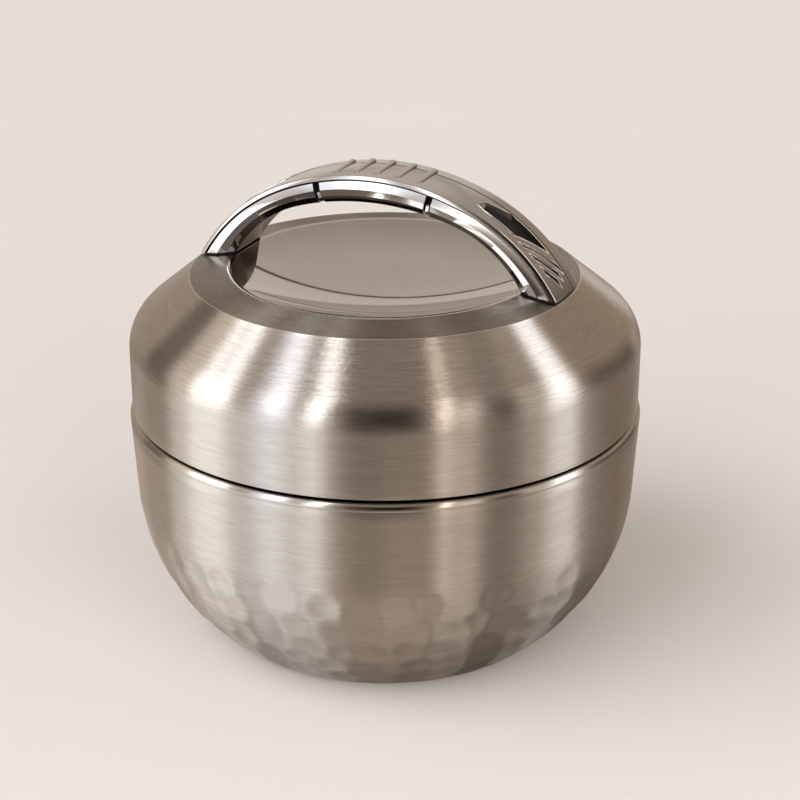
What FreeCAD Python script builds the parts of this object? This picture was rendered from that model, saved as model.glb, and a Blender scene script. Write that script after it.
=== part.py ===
import FreeCAD, Part
import math
import os
import re
import Sketcher

# Insulated round lunch box with a twist-lock lid and a fixed arch handle on top.
# Millimetres and degrees. +Z is up, the box stands on Z = 0, its axis is the Z axis
# and the handle arches along X. The lid is shown closed and not yet twisted shut.

SIZES = {
    # sheet metal and running gaps
    "skin": 0.6,
    "gap": 0.3,
    "pin_fit": 0.05,
    # bowl
    "bowl_radius": 100,
    "lip_height": 91,
    "lip_round": 2.5,
    "bowl_taper": 3,
    "belly_height": 58,
    "belly_radius": 78,
    "pad_proud": 0.6,
    "recess_radius": 64,
    "recess_depth": 2,
    "base_plate_radius": 44,
    "pad_inner_radius": 46,
    "pad_outer_radius": 62,
    # liner and collar
    "bowl_wall": 12,
    "liner_floor": 12,
    "neck_inset": 8,
    "neck_rise": 9.4,
    "collar_height": 84,
    "flange_height": 3.8,
    "flange_drop": 0.7,
    # twist lock
    "lug_reach": 2.6,
    "lug_gap": 0.4,
    "lug_height": 3,
    "lug_angle": 26,
    "lug_count": 4,
    "lock_wall": 2.7,
    # food vessels
    "vessel_gap": 2.5,
    "food_bowl_height": 65,
    "rim_width": 1.7,
    "cover_thickness": 1.8,
    "cover_skirt": 4.8,
    "cover_skirt_wall": 1.6,
    "cover_seal_height": 2,
    "cover_seal_width": 1,
    "tray_height": 29.6,
    "tray_draft": 15,
    "tray_corner": 6,
    # seal plate that hangs in the lid
    "plate_thickness": 0.8,
    "plate_drop": 4.1,
    "plate_flat_radius": 79,
    "gasket_height": 3.3,
    "gasket_width": 3.6,
    "gasket_lip": 1.3,
    "gasket_inset": 0.4,
    "swivel_radius": 3,
    "swivel_head_radius": 7,
    "swivel_head_height": 2,
    "bush_wall": 1.95,
    "bush_flange": 0.8,
    "hub_radius": 6,
    # lid
    "lid_inset": 1,
    "lid_gap": 1.2,
    "hem_width": 1.8,
    "lid_wall_height": 25,
    "shoulder_round": 16,
    "cone_slope": 39,
    "crown_radius": 75,
    "ledge_slope": 8,
    "ledge_width": 15,
    "crest_round": 4,
    "dish_slope": 22,
    "liner_height": 15,
    "liner_thickness": 2,
    "presser_width": 2,
    "presser_inset": 0.6,
    "foam_air": 8,
    # handle
    "hand_room": 27.3,
    "handle_width": 25.4,
    "foot_inset": 0.6,
    "foot_overhang": 1.2,
    "inner_turn": 17.8,
    "inner_side": 48,
    "seam_turn": 24.2,
    "seam_side": 72,
    "seam_inset": 3.45,
    "leg_depth": 8.6,
    "seam": 0.5,
    "seam_recess": 0.8,
    "handle_cover": 2,
    "notch_place": 23.3,
    "notch_width": 2.6,
    "notch_floor": 2,
    "rib_count": 5,
    "rib_pitch": 8.3,
    "rib_width": 2.6,
    "rib_length": 14,
    "rib_height": 0.6,
    "slot_inset": 9.4,
    "slot_length": 25.6,
    "slot_width": 8,
    "slot_taper": 10,
    "window_pitch": 4.3,
    "window_width": 2.2,
    "window_edge": 8.5,
    "window_length": 12.5,
    "window_step": 3.5,
    "foot_pad": 1,
    # fasteners
    "screw_inset": 10.4,
    "screw_spacing": 14,
    "screw_radius": 2,
    "screw_length": 10,
    "screw_head_radius": 3.2,
    "screw_head_height": 2.4,
    "block_inset": 2,
    "block_width": 22,
    "block_depth": 2.5,
}

doc = FreeCAD.newDocument("LunchBox")
sheet = doc.addObject("Spreadsheet::Sheet", "Sizes")
for row, (alias, size) in enumerate(SIZES.items(), start=1):
    sheet.set(f"A{row}", alias)
    sheet.set(f"B{row}", str(size))
    sheet.setAlias(f"B{row}", alias)
doc.recompute()

WORDS = re.compile(r"\b(" + "|".join(sorted(SIZES, key=len, reverse=True)) + r")\b")
HALF_TURN = FreeCAD.Rotation(FreeCAD.Vector(0, 0, 1), 180)


def formula(text):
    """Point every size word in a formula at its cell of the sheet."""
    return WORDS.sub(r"Sizes.\1", str(text))


def value(text):
    """The number that a formula gives now."""
    return float(sheet.evalExpression(formula(text)))


# Heights and radii that several pieces share, as formulas of the sizes

LIP_ARC_Z = "(lip_height - lip_round)"
BELLY_R = f"(bowl_radius - ({LIP_ARC_Z} - belly_height) * tan(bowl_taper))"
BELLY_CENTRE_R = f"({BELLY_R} - belly_radius * cos(bowl_taper))"
BELLY_CENTRE_Z = "(belly_height + belly_radius * sin(bowl_taper))"
BASE_Z = "pad_proud"
RECESS_Z = "(pad_proud + recess_depth)"

LINER_R = "(bowl_radius - bowl_wall)"
LINER_ARC = f"({LINER_R} - {BELLY_CENTRE_R})"
NECK_R = "(bowl_radius - neck_inset)"
NECK_TOP = "(lip_height + neck_rise)"
FLANGE_TOP = "(lip_height - flange_drop)"

VESSEL_ARC = f"({LINER_ARC} - vessel_gap)"
VESSEL_R = f"({BELLY_CENTRE_R} + {VESSEL_ARC})"
VESSEL_Z = "(liner_floor + gap)"
RIM_R = f"({VESSEL_R} + rim_width)"
COVER_Z = "(food_bowl_height + gap)"
SKIRT_R = f"({VESSEL_R} - skin - gap - cover_seal_width)"
TRAY_Z = f"({COVER_Z} + cover_thickness + gap)"
TRAY_TOP = f"({TRAY_Z} + tray_height)"

GASKET_Z = f"({NECK_TOP} + skin + gap)"
GASKET_R = f"({NECK_R} - gasket_inset)"
PLATE_Z = f"({GASKET_Z} + gasket_lip)"
PLATE_LOW = f"({PLATE_Z} - plate_drop)"

LID_R = "(bowl_radius - lid_inset)"
HEM_Z = "(lip_height + lid_gap)"
SHOULDER_Z = "(lip_height + lid_wall_height)"
SHOULDER_R = f"({LID_R} - shoulder_round)"
CONE_R = f"({SHOULDER_R} + shoulder_round * sin(cone_slope))"
CONE_Z = f"({SHOULDER_Z} + shoulder_round * cos(cone_slope))"
CROWN_Z = f"({CONE_Z} + ({CONE_R} - crown_radius) * tan(cone_slope))"
CREST_MID = "(crown_radius - ledge_width)"
CREST_R = f"({CREST_MID} + crest_round * sin(ledge_slope))"
CREST_Z = f"({CROWN_Z} + (crown_radius - {CREST_R}) * tan(ledge_slope))"
CREST_ARC_Z = f"({CREST_Z} - crest_round * cos(ledge_slope))"
DISH_R = f"({CREST_MID} - crest_round * sin(dish_slope))"
DISH_Z = f"({CREST_ARC_Z} + crest_round * cos(dish_slope))"
DISH_ARC = f"({DISH_R} / sin(dish_slope))"
DISH_FLOOR = f"({DISH_Z} - {DISH_ARC} * (1 - cos(dish_slope)))"
LOCK_R = f"({LID_R} - skin - gap)"
LINER_Z = "(lip_height + liner_height)"
FOAM_Z = f"({DISH_FLOOR} - skin - foam_air)"

ARCH_TOP = f"({CREST_ARC_Z} + crest_round + hand_room)"
SEAM_TOP = f"({ARCH_TOP} + leg_depth)"
FOOT_R = "(crown_radius - foot_inset)"
SCREW_R = f"({FOOT_R} - screw_inset)"
BLOCK_IN = f"({CREST_R} + gap)"
BLOCK_OUT = f"({FOOT_R} - block_inset)"
SLOT_END = f"({FOOT_R} - slot_inset)"
SLOT_START = f"({SLOT_END} - slot_length)"


def crown_arc(side, knee, reach, drop):
    """Radius of an arch's crown arc, for a side arc that starts where the arch leans by
    the knee angle and ends at a reach from the middle, a drop below the top."""
    square = f"(2 * (1 - cos({knee})))"
    middle = f"(({reach}) * sin({knee}) - (({side}) - ({drop})) * (1 - cos({knee})))"
    rest = f"(({reach}) ^ 2 + (({side}) - ({drop})) ^ 2 - ({side}) ^ 2)"
    return f"({side} + ({middle} - sqrt({middle} ^ 2 - {square} * {rest})) / {square})"


def foot_drop(reach):
    """From the arch's inner top down to the foot pad at a reach from the middle."""
    return (f"(hand_room + crest_round * (1 - cos(ledge_slope))"
            f" + (({reach}) - {CREST_R}) * tan(ledge_slope) - foot_pad)")


INNER_REACH = f"({CREST_MID} - foot_overhang)"
SEAM_REACH = f"({FOOT_R} - seam_inset)"
INNER_CROWN = crown_arc("inner_side", "inner_turn", INNER_REACH, foot_drop(INNER_REACH))
SEAM_CROWN = crown_arc("seam_side", "seam_turn", SEAM_REACH,
                       f"({foot_drop(SEAM_REACH)} + leg_depth)")


def ledge(radius, offset):
    """Height of the lid's ledge at a radius, raised or lowered by an offset."""
    return f"({CROWN_Z} + (crown_radius - ({radius})) * tan(ledge_slope) + ({offset}))"


SCREW_Z = ledge(BLOCK_OUT, "-skin - block_depth")
SCREW_TOP = f"({SCREW_Z} + screw_length)"


# Building blocks


def new_body(label):
    body = doc.addObject("PartDesign::Body", label)
    body.Label = label
    return body


def origin_plane(body, role):
    return next(item for item in body.Origin.OriginFeatures if item.Role == role)


def new_sketch(body, role):
    sketch = body.newObject("Sketcher::SketchObject", body.Label + "_outline")
    sketch.AttachmentSupport = (origin_plane(body, role), [""])
    sketch.MapMode = "FlatFace"
    return sketch


def pin_point(sketch, edge, end, across, up):
    """Hold one end of an edge at a place given by two formulas."""
    for axis, other_axis, text in (("X", -2, across), ("Y", -1, up)):
        if value(text) == 0:
            sketch.addConstraint(Sketcher.Constraint("PointOnObject", edge, end, other_axis))
            continue
        rule = Sketcher.Constraint("Distance" + axis, -1, 1, edge, end, value(text))
        index = sketch.addConstraint(rule)
        sketch.setExpression(f"Constraints[{index}]", formula(text))


def arc_between(start, end, radius, turn):
    """Minor arc between two points; turn 1 is anticlockwise, -1 clockwise."""
    chord = end - start
    aside = FreeCAD.Vector(-chord.y, chord.x, 0).normalize()
    height = math.sqrt(radius ** 2 - (chord.Length / 2) ** 2)
    centre = (start + end) * 0.5 + aside * height * turn
    first, last = (start, end) if turn > 0 else (end, start)
    angles = [math.atan2(p.y - centre.y, p.x - centre.x) for p in (first, last)]
    circle = Part.Circle(centre, FreeCAD.Vector(0, 0, 1), radius)
    return Part.ArcOfCircle(circle, angles[0], angles[1])


def outline(sketch, *corners):
    """Closed outline. A corner is (across, up) after a line, or
    (across, up, radius, turn) after an arc, and all of them are formulas."""
    places = [FreeCAD.Vector(value(c[0]), value(c[1]), 0) for c in corners]
    joints = []
    for index, corner in enumerate(corners):
        start, end = places[index - 1], places[index]
        if len(corner) == 2:
            edge = sketch.addGeometry(Part.LineSegment(start, end))
            joints.append((edge, 1, 2))
            continue
        radius, turn = corner[2], corner[3]
        edge = sketch.addGeometry(arc_between(start, end, value(radius), turn))
        rule = sketch.addConstraint(Sketcher.Constraint("Radius", edge, value(radius)))
        sketch.setExpression(f"Constraints[{rule}]", formula(radius))
        joints.append((edge, 1, 2) if turn > 0 else (edge, 2, 1))
    for index, (edge, first, last) in enumerate(joints):
        following, next_first, _ = joints[(index + 1) % len(joints)]
        sketch.addConstraint(
            Sketcher.Constraint("Coincident", edge, last, following, next_first))
        pin_point(sketch, edge, last, corners[index][0], corners[index][1])


def circles(sketch, places, radius):
    """Full circles at places given by formulas."""
    for across, up in places:
        centre = FreeCAD.Vector(value(across), value(up), 0)
        circle = Part.Circle(centre, FreeCAD.Vector(0, 0, 1), value(radius))
        edge = sketch.addGeometry(circle)
        rule = sketch.addConstraint(Sketcher.Constraint("Radius", edge, value(radius)))
        sketch.setExpression(f"Constraints[{rule}]", formula(radius))
        pin_point(sketch, edge, 3, across, up)


def turn_about_z(body, kind, *corners, angle="360", both_ways=False, reverse=False):
    """Revolve (PartDesign::Revolution or Groove) an outline in the XZ plane."""
    sketch = new_sketch(body, "XZ_Plane")
    outline(sketch, *corners)
    feature = body.newObject("PartDesign::" + kind, body.Label + "_turned")
    feature.Profile = sketch
    feature.ReferenceAxis = (sketch, ["V_Axis"])
    feature.setExpression("Angle", formula(angle))
    feature.Midplane = both_ways
    feature.Reversed = reverse
    return feature


def turned(label, *corners):
    body = new_body(label)
    turn_about_z(body, "Revolution", *corners)
    return body


def around(body, features, count):
    """Repeat features evenly about Z."""
    pattern = body.newObject("PartDesign::PolarPattern", body.Label + "_around")
    pattern.Originals = features
    pattern.Axis = (origin_plane(body, "Z_Axis"), [""])
    pattern.Angle = 360
    pattern.setExpression("Occurrences", formula(count))
    body.Tip = pattern


def cut_through(body, draw, *arguments, role="XY_Plane"):
    """Pocket right through the piece, both ways from the sketch."""
    sketch = new_sketch(body, role)
    draw(sketch, *arguments)
    pocket = body.newObject("PartDesign::Pocket", body.Label + "_cut")
    pocket.Profile = sketch
    pocket.Type = "ThroughAll"
    pocket.Midplane = True
    return pocket


# Bowl


def make_outer_bowl():
    """Brushed steel skin with a rounded lip and a recess under its base."""
    inner_lip_r = "(bowl_radius - lip_round)"
    base_r = f"({BELLY_CENTRE_R} + sqrt(belly_radius ^ 2 - ({BELLY_CENTRE_Z} - {BASE_Z}) ^ 2))"
    floor_z = f"({BASE_Z} + skin)"
    floor_r = (f"({BELLY_CENTRE_R} + sqrt((belly_radius - skin) ^ 2"
               f" - ({BELLY_CENTRE_Z} - {floor_z}) ^ 2))")
    side_r = f"({BELLY_R} - skin)"
    turned(
        "outer_bowl",
        ("0", RECESS_Z),
        ("recess_radius", RECESS_Z),
        ("recess_radius", BASE_Z),
        (base_r, BASE_Z),
        (BELLY_R, "belly_height", "belly_radius", 1),
        ("bowl_radius", LIP_ARC_Z),
        (inner_lip_r, "lip_height", "lip_round", 1),
        (inner_lip_r, "lip_height - skin"),
        ("bowl_radius - skin", LIP_ARC_Z, "lip_round - skin", -1),
        (side_r, "belly_height"),
        (floor_r, floor_z, "belly_radius - skin", -1),
        ("recess_radius + skin", floor_z),
        ("recess_radius + skin", f"{RECESS_Z} + skin"),
        ("0", f"{RECESS_Z} + skin"),
    )


def make_base_plate():
    """Disc glued over the filling hole in the recess."""
    turned(
        "base_plate",
        ("0", f"{RECESS_Z} - skin"),
        ("base_plate_radius", f"{RECESS_Z} - skin"),
        ("base_plate_radius", RECESS_Z),
        ("0", RECESS_Z),
    )


def make_base_pad():
    """Non-slip ring that the box stands on."""
    turned(
        "base_pad",
        ("pad_inner_radius", "0"),
        ("pad_outer_radius", "0"),
        ("pad_outer_radius", RECESS_Z),
        ("pad_inner_radius", RECESS_Z),
    )


def make_bowl_liner():
    """Inner steel vessel whose top edge folds out over the neck."""
    floor_r = f"({BELLY_CENTRE_R} + sqrt({LINER_ARC} ^ 2 - ({BELLY_CENTRE_Z} - liner_floor) ^ 2))"
    under_z = "(liner_floor - skin)"
    under_r = (f"({BELLY_CENTRE_R} + sqrt(({LINER_ARC} + skin) ^ 2"
               f" - ({BELLY_CENTRE_Z} - {under_z}) ^ 2))")
    turned(
        "bowl_liner",
        ("0", under_z),
        (under_r, under_z),
        (f"{LINER_R} + skin", BELLY_CENTRE_Z, f"{LINER_ARC} + skin", 1),
        (f"{LINER_R} + skin", NECK_TOP),
        (GASKET_R, NECK_TOP),
        (GASKET_R, f"{NECK_TOP} + skin"),
        (LINER_R, f"{NECK_TOP} + skin"),
        (LINER_R, BELLY_CENTRE_Z),
        (floor_r, "liner_floor", LINER_ARC, -1),
        ("0", "liner_floor"),
    )


def make_bowl_insulation():
    """Foam between the skin and the liner, with room all round."""
    outer_arc = "(belly_radius - skin - gap)"
    foot_z = f"({RECESS_Z} + skin + gap)"
    foot_r = f"({BELLY_CENTRE_R} + sqrt({outer_arc} ^ 2 - ({BELLY_CENTRE_Z} - {foot_z}) ^ 2))"
    side_r = f"({BELLY_R} - skin - gap)"
    top_z = "(collar_height - gap)"
    top_r = f"({side_r} + ({top_z} - belly_height) * tan(bowl_taper))"
    inner_arc = f"({LINER_ARC} + skin + gap)"
    inner_r = f"({LINER_R} + skin + gap)"
    floor_z = "(liner_floor - skin - gap)"
    floor_r = f"({BELLY_CENTRE_R} + sqrt({inner_arc} ^ 2 - ({BELLY_CENTRE_Z} - {floor_z}) ^ 2))"
    turned(
        "bowl_insulation",
        ("0", foot_z),
        (foot_r, foot_z),
        (side_r, "belly_height", outer_arc, 1),
        (top_r, top_z),
        (inner_r, top_z),
        (inner_r, BELLY_CENTRE_Z),
        (floor_r, floor_z, inner_arc, -1),
        ("0", floor_z),
    )


def make_rim_collar():
    """Plastic ring that joins skin and liner, with a neck and its locking lugs."""
    inner_r = f"({LINER_R} + skin + pin_fit)"
    lip_r = "(bowl_radius - lip_round - gap)"
    shoulder_r = "(bowl_radius - skin - lip_round * 0.2)"
    shoulder_z = f"({LIP_ARC_Z} - gap)"
    flange_z = f"({FLANGE_TOP} - flange_height)"
    body = turned(
        "rim_collar",
        (inner_r, "collar_height"),
        (NECK_R, "collar_height"),
        (NECK_R, flange_z),
        (shoulder_r, flange_z),
        (shoulder_r, shoulder_z),
        (lip_r, shoulder_z),
        (lip_r, FLANGE_TOP),
        (NECK_R, FLANGE_TOP),
        (NECK_R, NECK_TOP),
        (inner_r, NECK_TOP),
    )
    inside = f"({NECK_R} - 1)"
    lug_r = f"({NECK_R} + lug_reach + lug_gap)"
    lug_z = f"({HEM_Z} + skin + lug_height + gap)"
    lug = turn_about_z(
        body, "Revolution",
        (inside, lug_z),
        (lug_r, lug_z),
        (lug_r, f"{lug_z} + lug_height"),
        (inside, f"{lug_z} + lug_height"),
        angle="lug_angle", both_ways=True,
    )
    stop = turn_about_z(
        body, "Revolution",
        (inside, f"{lug_z} - lug_height"),
        (lug_r, f"{lug_z} - lug_height"),
        (lug_r, f"{lug_z} + lug_height / 2"),
        (inside, f"{lug_z} + lug_height / 2"),
        angle="lug_angle / 2", reverse=True,
    )
    around(body, [lug, stop], "lug_count")


# Food vessels


def make_food_bowl():
    """Lift-out steel bowl with a turned-out rim."""
    def floor_r(arc, floor_z):
        return f"({BELLY_CENTRE_R} + sqrt({arc} ^ 2 - ({BELLY_CENTRE_Z} - {floor_z}) ^ 2))"

    inner_arc = f"({VESSEL_ARC} - skin)"
    floor_z = f"({VESSEL_Z} + skin)"
    turned(
        "food_bowl",
        ("0", VESSEL_Z),
        (floor_r(VESSEL_ARC, VESSEL_Z), VESSEL_Z),
        (VESSEL_R, BELLY_CENTRE_Z, VESSEL_ARC, 1),
        (VESSEL_R, "food_bowl_height - skin"),
        (RIM_R, "food_bowl_height - skin"),
        (RIM_R, "food_bowl_height"),
        (f"{VESSEL_R} - skin", "food_bowl_height"),
        (f"{VESSEL_R} - skin", BELLY_CENTRE_Z),
        (floor_r(inner_arc, floor_z), floor_z, inner_arc, -1),
        ("0", floor_z),
    )


def make_bowl_cover():
    """Press-on plastic cover of the food bowl."""
    skirt_z = f"({COVER_Z} - cover_skirt)"
    turned(
        "bowl_cover",
        ("0", COVER_Z),
        (f"{SKIRT_R} - cover_skirt_wall", COVER_Z),
        (f"{SKIRT_R} - cover_skirt_wall", skirt_z),
        (SKIRT_R, skirt_z),
        (SKIRT_R, COVER_Z),
        (RIM_R, COVER_Z),
        (RIM_R, f"{COVER_Z} + cover_thickness"),
        ("0", f"{COVER_Z} + cover_thickness"),
    )


def make_cover_seal():
    """Silicone ring round the cover's skirt."""
    low_z = f"({COVER_Z} - cover_skirt / 2 - cover_seal_height / 2)"
    outer_r = f"({VESSEL_R} - skin - gap)"
    turned(
        "cover_seal",
        (SKIRT_R, low_z),
        (outer_r, low_z),
        (outer_r, f"{low_z} + cover_seal_height"),
        (SKIRT_R, f"{low_z} + cover_seal_height"),
    )


def make_food_tray():
    """Shallow steel tray that stands on the cover, under the lid."""
    side_r = f"({RIM_R} - rim_width)"
    low_r = f"({side_r} - (tray_height - tray_corner) * tan(tray_draft))"
    corner_z = f"({TRAY_Z} + tray_corner)"
    turned(
        "food_tray",
        ("0", TRAY_Z),
        (f"{low_r} - tray_corner", TRAY_Z),
        (low_r, corner_z, "tray_corner", 1),
        (side_r, f"{TRAY_TOP} - skin"),
        (RIM_R, f"{TRAY_TOP} - skin"),
        (RIM_R, TRAY_TOP),
        (f"{side_r} - skin", TRAY_TOP),
        (f"{low_r} - skin", corner_z),
        (f"{low_r} - tray_corner", f"{TRAY_Z} + skin", "tray_corner - skin", -1),
        ("0", f"{TRAY_Z} + skin"),
    )


# Seal plate that hangs in the lid and doesn't turn with it


def make_seal_plate():
    """Steel plate with a dropped middle and a swivel hole."""
    hole_r = "(swivel_radius + pin_fit + bush_wall)"
    edge_r = f"({GASKET_R} - gasket_width / 2)"
    slope_r = "(plate_flat_radius + plate_drop)"
    turned(
        "seal_plate",
        (hole_r, PLATE_LOW),
        ("plate_flat_radius", PLATE_LOW),
        (slope_r, PLATE_Z),
        (edge_r, PLATE_Z),
        (edge_r, f"{PLATE_Z} + plate_thickness"),
        (f"{slope_r} - plate_thickness / 2", f"{PLATE_Z} + plate_thickness"),
        ("plate_flat_radius - plate_thickness / 2", f"{PLATE_LOW} + plate_thickness"),
        (hole_r, f"{PLATE_LOW} + plate_thickness"),
    )


def make_lid_gasket():
    """Silicone ring that grips the plate's edge and closes on the liner's rim."""
    inner_r = f"({GASKET_R} - gasket_width)"
    groove_r = f"({GASKET_R} - gasket_width / 2 + pin_fit)"
    turned(
        "lid_gasket",
        (inner_r, GASKET_Z),
        (GASKET_R, GASKET_Z),
        (GASKET_R, f"{GASKET_Z} + gasket_height"),
        (inner_r, f"{GASKET_Z} + gasket_height"),
        (inner_r, f"{PLATE_Z} + plate_thickness + pin_fit"),
        (groove_r, f"{PLATE_Z} + plate_thickness + pin_fit"),
        (groove_r, f"{PLATE_Z} - pin_fit"),
        (inner_r, f"{PLATE_Z} - pin_fit"),
    )


def make_swivel_bush():
    """Flanged bush in the plate that the lid turns on."""
    bore_r = "(swivel_radius + pin_fit)"
    sleeve_r = f"({bore_r} + bush_wall - pin_fit / 2)"
    top_z = f"({PLATE_LOW} + plate_thickness)"
    turned(
        "swivel_bush",
        (bore_r, PLATE_LOW),
        (sleeve_r, PLATE_LOW),
        (sleeve_r, top_z),
        ("swivel_head_radius", top_z),
        ("swivel_head_radius", f"{top_z} + bush_flange"),
        (bore_r, f"{top_z} + bush_flange"),
    )


# Lid


def make_lid_shell():
    """Brushed steel lid: straight wall, cone, ledge and a dish under the handle."""
    inner_r = f"({LID_R} - skin)"
    # the inside corner of the crown lies on the bisector of its two slopes
    half_turn = "((cone_slope - ledge_slope) / 2)"
    lean = "((cone_slope + ledge_slope) / 2)"
    crown_in_r = f"(crown_radius - skin * sin({lean}) / cos({half_turn}))"
    crown_in_z = f"({CROWN_Z} - skin * cos({lean}) / cos({half_turn}))"
    body = turned(
        "lid_shell",
        ("0", f"{DISH_FLOOR} - skin"),
        (f"{DISH_R} + skin * sin(dish_slope)", f"{DISH_Z} - skin * cos(dish_slope)",
         f"{DISH_ARC} + skin", 1),
        (f"{CREST_R} - skin * sin(ledge_slope)", f"{CREST_Z} - skin * cos(ledge_slope)",
         "crest_round - skin", -1),
        (crown_in_r, crown_in_z),
        (f"{CONE_R} - skin * sin(cone_slope)", f"{CONE_Z} - skin * cos(cone_slope)"),
        (inner_r, SHOULDER_Z, "shoulder_round - skin", -1),
        (inner_r, f"{HEM_Z} + skin"),
        (f"{LID_R} - hem_width", f"{HEM_Z} + skin"),
        (f"{LID_R} - hem_width", HEM_Z),
        (LID_R, HEM_Z),
        (LID_R, SHOULDER_Z),
        (CONE_R, CONE_Z, "shoulder_round", 1),
        ("crown_radius", CROWN_Z),
        (CREST_R, CREST_Z),
        (DISH_R, DISH_Z, "crest_round", 1),
        ("0", DISH_FLOOR, DISH_ARC, -1),
    )
    cut_through(body, circles, screw_places(), "screw_radius + pin_fit")


def make_lock_ring():
    """Plastic ring inside the lid whose lugs turn under those of the neck."""
    wall_r = f"({NECK_R} + lug_reach + 2 * lug_gap)"
    low_z = f"({HEM_Z} + skin)"
    body = turned(
        "lock_ring",
        (wall_r, low_z),
        (LOCK_R, low_z),
        (LOCK_R, LINER_Z),
        (wall_r, LINER_Z),
    )
    tip_r = f"({NECK_R} + lug_gap)"
    lug = turn_about_z(
        body, "Revolution",
        (tip_r, low_z),
        (f"{wall_r} + lock_wall / 2", low_z),
        (f"{wall_r} + lock_wall / 2", f"{low_z} + lug_height"),
        (tip_r, f"{low_z} + lug_height"),
        angle="lug_angle", both_ways=True,
    )
    around(body, [lug], "lug_count")
    between_lugs = 180 / value("lug_count")
    body.Placement = FreeCAD.Placement(
        FreeCAD.Vector(), FreeCAD.Rotation(FreeCAD.Vector(0, 0, 1), between_lugs))


def make_lid_liner():
    """Plastic floor of the lid, with the presser ring and the swivel hub."""
    top_z = f"({LINER_Z} + liner_thickness)"
    presser_z = f"({GASKET_Z} + gasket_height + gap)"
    presser_r = f"({GASKET_R} - presser_inset)"
    hub_z = f"({PLATE_LOW} + plate_thickness + bush_flange + gap)"
    bore_r = "(swivel_radius + pin_fit)"
    turned(
        "lid_liner",
        (bore_r, hub_z),
        ("hub_radius", hub_z),
        ("hub_radius", LINER_Z),
        (f"{presser_r} - presser_width", LINER_Z),
        (f"{presser_r} - presser_width", presser_z),
        (presser_r, presser_z),
        (presser_r, LINER_Z),
        (LOCK_R, LINER_Z),
        (LOCK_R, top_z),
        ("hub_radius", top_z),
        ("hub_radius", f"{top_z} + liner_thickness"),
        ("0", f"{top_z} + liner_thickness"),
        ("0", top_z),
        (bore_r, top_z),
    )


def make_lid_insulation():
    """Foam disc over the lid's floor; the air above it leaves room for the fixings."""
    low_z = f"({LINER_Z} + liner_thickness + gap)"
    side_r = f"({LID_R} - skin - gap)"
    hub_r = "(hub_radius + gap)"
    hub_z = f"({LINER_Z} + 2 * liner_thickness + gap)"
    turned(
        "lid_insulation",
        (hub_r, low_z),
        (side_r, low_z),
        (side_r, SHOULDER_Z),
        ("crown_radius", FOAM_Z),
        ("0", FOAM_Z),
        ("0", hub_z),
        (hub_r, hub_z),
    )


def make_swivel_screw():
    """Screw that hangs the seal plate from the lid's hub."""
    head_top = f"({PLATE_LOW} - gap)"
    body = turned(
        "swivel_screw",
        ("0", f"{head_top} - swivel_head_height"),
        ("swivel_head_radius", f"{head_top} - swivel_head_height"),
        ("swivel_head_radius", head_top),
        ("swivel_radius", head_top),
        ("swivel_radius", f"{LINER_Z} + liner_thickness / 2"),
        ("0", f"{LINER_Z} + liner_thickness / 2"),
    )
    sketch = new_sketch(body, "XZ_Plane")
    outline(
        sketch,
        ("-plate_thickness", f"{head_top} - swivel_head_height"),
        ("plate_thickness", f"{head_top} - swivel_head_height"),
        ("plate_thickness", f"{head_top} - swivel_head_height / 2"),
        ("-plate_thickness", f"{head_top} - swivel_head_height / 2"),
    )
    slot = body.newObject("PartDesign::Pocket", "swivel_screw_slot")
    slot.Profile = sketch
    slot.setExpression("Length", formula("swivel_head_radius * 1.5"))
    slot.Midplane = True


# Handle


def arc_point(top, crown, crown_turn, side, turn, extra="0"):
    """Point on an arch of a crown arc and a side arc, where it leans by turn."""
    across = (f"(({crown} - {side}) * sin({crown_turn}) + ({side} + {extra}) * sin({turn}))")
    up = (f"({top} - ({crown} - {side}) * (1 - cos({crown_turn})) - {side}"
          f" + ({side} + {extra}) * cos({turn}))")
    return across, up


def seam_point(turn, extra):
    return arc_point(SEAM_TOP, SEAM_CROWN, "seam_turn", "seam_side", turn, extra)


def inner_point(turn):
    return arc_point(ARCH_TOP, INNER_CROWN, "inner_turn", "inner_side", turn)


def seam_crown_z(across, extra):
    """Height of the seam's crown arc at a distance from the middle."""
    return (f"({SEAM_TOP} - {SEAM_CROWN}"
            f" + sqrt(({SEAM_CROWN} + {extra}) ^ 2 - ({across}) ^ 2))")


def inner_crown_z(across):
    return f"({ARCH_TOP} - {INNER_CROWN} + sqrt({INNER_CROWN} ^ 2 - ({across}) ^ 2))"


def padded(label, width, *corners):
    """Outline in the XZ plane, as thick as width, half to each side."""
    body = new_body(label)
    sketch = new_sketch(body, "XZ_Plane")
    outline(sketch, *corners)
    pad = body.newObject("PartDesign::Pad", label + "_pad")
    pad.Profile = sketch
    pad.setExpression("Length", formula(width))
    pad.Midplane = True
    return body


def trim_to_lid(body, outer_r):
    """Cut away what would reach below the foot pads or past the foot's round end."""
    near_r = f"({CREST_MID} / 2)"
    far_r = "(crown_radius * 2)"
    high_z = f"({SEAM_TOP} + hand_room)"
    turn_about_z(
        body, "Groove",
        (near_r, "lip_height"),
        (far_r, "lip_height"),
        (far_r, high_z),
        (outer_r, high_z),
        (outer_r, ledge(outer_r, "foot_pad")),
        (near_r, ledge(near_r, "foot_pad")),
    )


def screw_places():
    """Centres of the four handle screws."""
    return [(f"{side} * {SCREW_R}", f"{end} * screw_spacing / 2")
            for side in (1, -1) for end in (1, -1)]


def half_turned(body, name):
    """The same piece for the other end of the handle."""
    if name.endswith("left"):
        body.Placement = FreeCAD.Placement(FreeCAD.Vector(), HALF_TURN)


def make_handle_legs():
    for name in ("handle_leg_right", "handle_leg_left"):
        body = new_body(name)
        draw_leg(body)
        trim_to_lid(body, FOOT_R)
        drill_leg(body)
        half_turned(body, name)


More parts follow.
